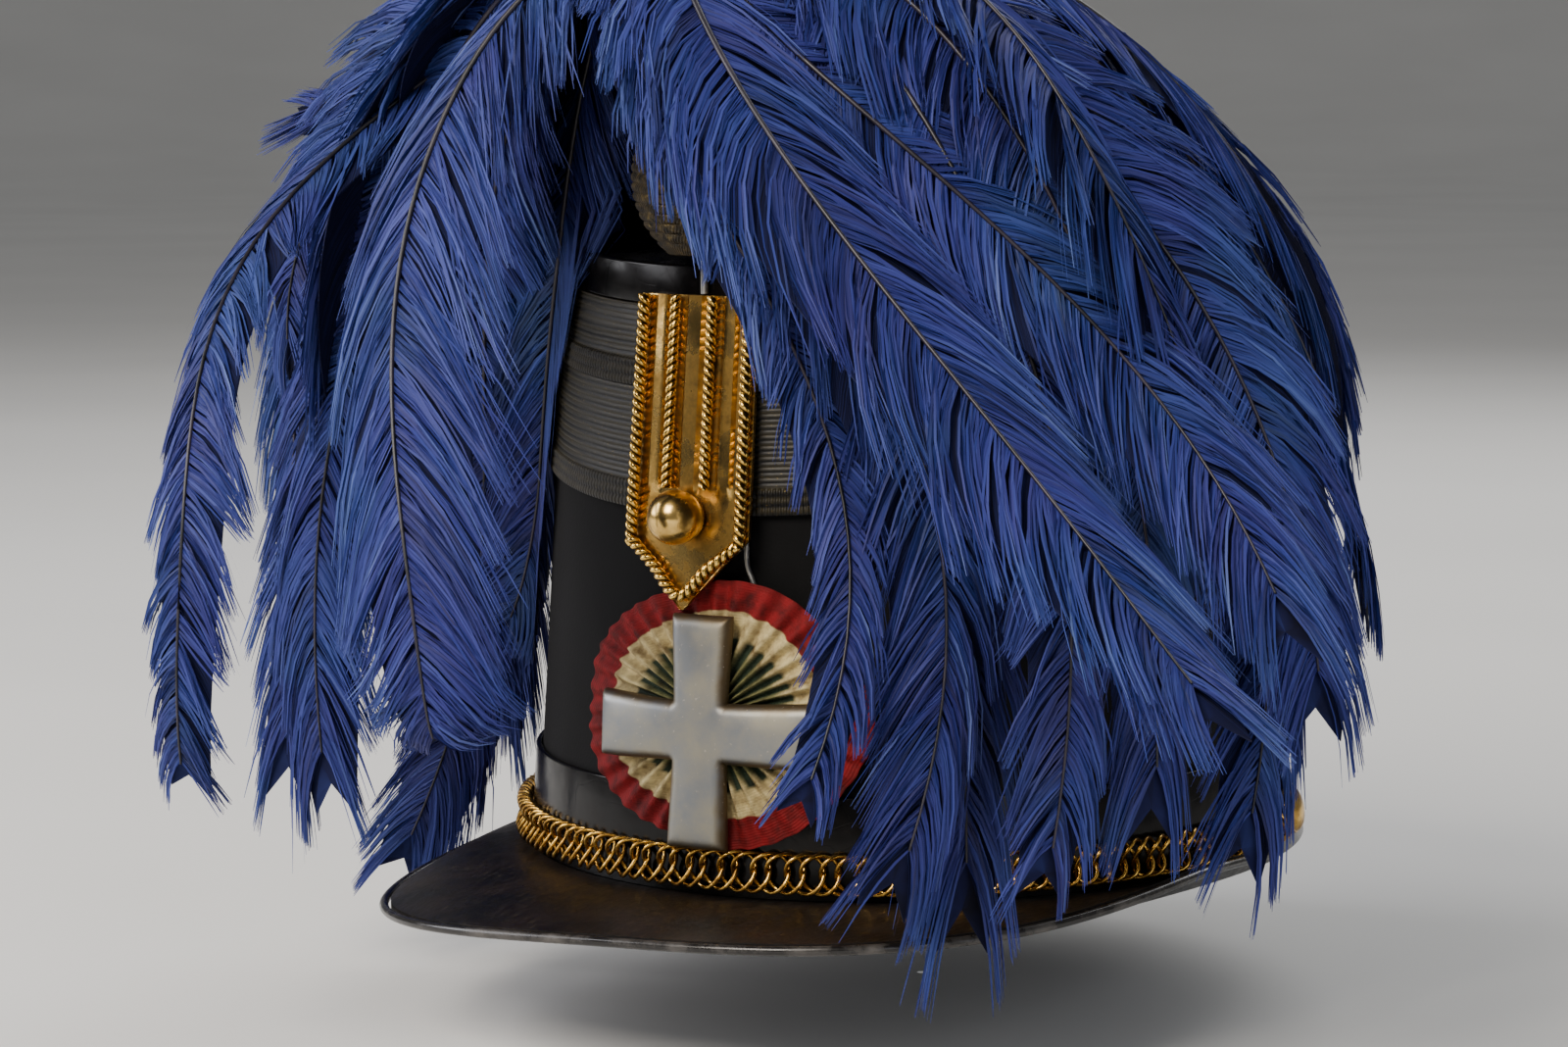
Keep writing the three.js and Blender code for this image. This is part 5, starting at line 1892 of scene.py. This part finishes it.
    def stem(self) -> None:
        """The bound root: rings that widen from the olive's top to the head, wound like cord."""
        holder = self.holder
        foot = self.form.front(holder.side, self.form.front_height, holder.prong_offset)
        share = np.linspace(0, 1, 60)[:, None, None]
        low = np.array([foot[0], foot[1], holder.foot + holder.height + self.form.seat])
        middle = mix(low, np.array(self.head), share)
        radius = self.stem_radius * np.interp(share, [0, 0.7, 0.92, 1], [0.45, 0.95, 0.9, 0.5]) * (
            1 + 0.04 * np.abs(np.sin(share * 30)))
        angle = circle(40)[None, :, None]
        ring = np.concatenate([np.cos(angle), np.sin(angle), np.zeros_like(angle)], -1)
        place(skin("plume_root_binding", middle + radius * ring), Quill("bound plume root"), Slot.FEATHER, "plume")

    def build(self) -> None:
        """Makes every group."""
        rear, upper, top = (tuple(feather for fan in fans for feather in fan.feathers())
                            for fans in (REAR_FANS, UPPER_FANS, TOP_FANS))
        groups = (("front_left", FRONT_LEFT, 1.0), ("front_right", FRONT_RIGHT, 1.0), ("side_right", SIDE_RIGHT, 1.0),
                  ("rear", rear, self.coarse), ("upper", upper, self.coarse), ("top", top, self.coarse))
        for seed, (name, feathers, grain) in enumerate(groups):
            self.group(name, feathers, self.first_seed + seed, grain)
        self.stem()


@dataclass
class Studio:
    """A pale floor, soft lights and the camera at the photograph's angle."""

    azimuth: float = 30.6
    elevation: float = 6.5
    distance: float = 1025 * MM
    focus: tuple[float, float, float] = (0.0, 0.0, 75 * MM)
    aim_right: float = -33.8 * MM
    aim_up: float = 1.7 * MM
    lens: float = 95.3
    light_focus: tuple[float, float, float] = (0.0, -0.04, 0.08)
    floor_height: float = -36 * MM
    floor_flat: float = 6.0
    floor_bend: float = 5.0

    def stand(
        self, data: bpy.types.Camera | bpy.types.Light, right: np.ndarray, rear: np.ndarray, spot: np.ndarray
    ) -> bpy.types.Object:
        """Puts a camera or lamp in the scene, turned by its own axes.

        Args:
            data: the camera's or lamp's data.
            right: direction of its right side.
            rear: direction behind it.
            spot: where it stands.

        Returns:
            The new object.
        """
        up = np.cross(rear, right)
        thing = bpy.data.objects.new(data.name, data)
        thing.matrix_world = Matrix([[right[k], up[k], rear[k], spot[k]] for k in range(3)] + [[0, 0, 0, 1]])
        bpy.context.scene.collection.objects.link(thing)
        return thing

    def camera(self) -> None:
        """Aims the camera by rotation: its axis runs to a place beside the focus."""
        turn, climb = np.radians([self.azimuth, self.elevation])
        back = np.array([np.sin(turn) * np.cos(climb), -np.cos(turn) * np.cos(climb), np.sin(climb)])
        right = np.array([np.cos(turn), np.sin(turn), 0.0])
        up = np.cross(back, right)
        spot = np.array(self.focus) + self.distance * back
        aim = np.array(self.focus) + self.aim_right * right + self.aim_up * up
        rear = unit(spot - aim)
        data = bpy.data.cameras.new("photo view")
        data.lens = self.lens
        data.sensor_width = 36
        data.clip_end = 50
        bpy.context.scene.camera = self.stand(data, unit(right - rear * (right @ rear)), rear, spot)

    def light(self, name: str, spot: tuple[float, float, float], size: float, power: float, tint: str) -> None:
        """Adds a square area light that faces the hat.

        Args:
            name: the lamp's name.
            spot: where it hangs, in metres.
            size: side of the square.
            power: its watts.
            tint: its colour.
        """
        data = bpy.data.lights.new(name, "AREA")
        data.size = size
        data.energy = power
        data.color = linear(tint)[:3]
        rear = unit(np.array(spot) - np.array(self.light_focus))
        self.stand(data, unit(np.cross([0.0, 0.0, 1.0], rear)), rear, spot)

    def build(self) -> None:
        """Makes the camera, the lights, the surrounding light and the floor."""
        self.camera()
        self.light("key", (-0.1, -1.4, 1.15), 0.8, 34, "#fff6ea")
        self.light("fill", (1.5, -0.7, 0.55), 1.2, 9, "#f2f6ff")
        self.light("left", (-1.35, -0.8, 0.75), 1.0, 22, "#fbfaff")
        self.light("rear", (-0.2, 1.3, 1.2), 1.2, 14, "#ffffff")
        world = bpy.data.worlds.new("soft surround")
        world.use_nodes = True
        world.node_tree.nodes["Background"].inputs["Color"].default_value = linear("#d5d6d8")
        world.node_tree.nodes["Background"].inputs["Strength"].default_value = 0.36
        bpy.context.scene.world = world
        turn = circle(64)[None]
        bend = np.radians(np.linspace(0, 88, 16))
        radius = np.concatenate([[0.001, 2.0, self.floor_flat],
                                 self.floor_flat + self.floor_bend * np.sin(bend[1:])])[:, None]
        height = np.concatenate([[0, 0, 0], self.floor_bend * (1 - np.cos(bend[1:]))])[:, None] + self.floor_height
        points = np.stack(np.broadcast_arrays(radius * np.cos(turn), radius * np.sin(turn), height), -1)
        faces, _, _ = grid_faces(len(radius), 64, False, True)
        floor = mesh_piece("studio_floor", points.reshape(-1, 3), faces[:, ::-1])
        floor.data.materials.append(PaintedFloor().material())


def main() -> None:
    """Builds the studio and each sub-assembly in order."""
    logging.basicConfig(level=logging.INFO, format="%(name)s: %(message)s")
    Studio().build()
    for part in (Shell(), LaceBands(), Peak(), ChinChain(), LoopPlate(), Rosette(), CrossBadge(), PlumeHolder(),
                 Plume()):
        part.build()
        log.info("%s built", type(part).__name__)


if __name__ == "__main__":
    main()
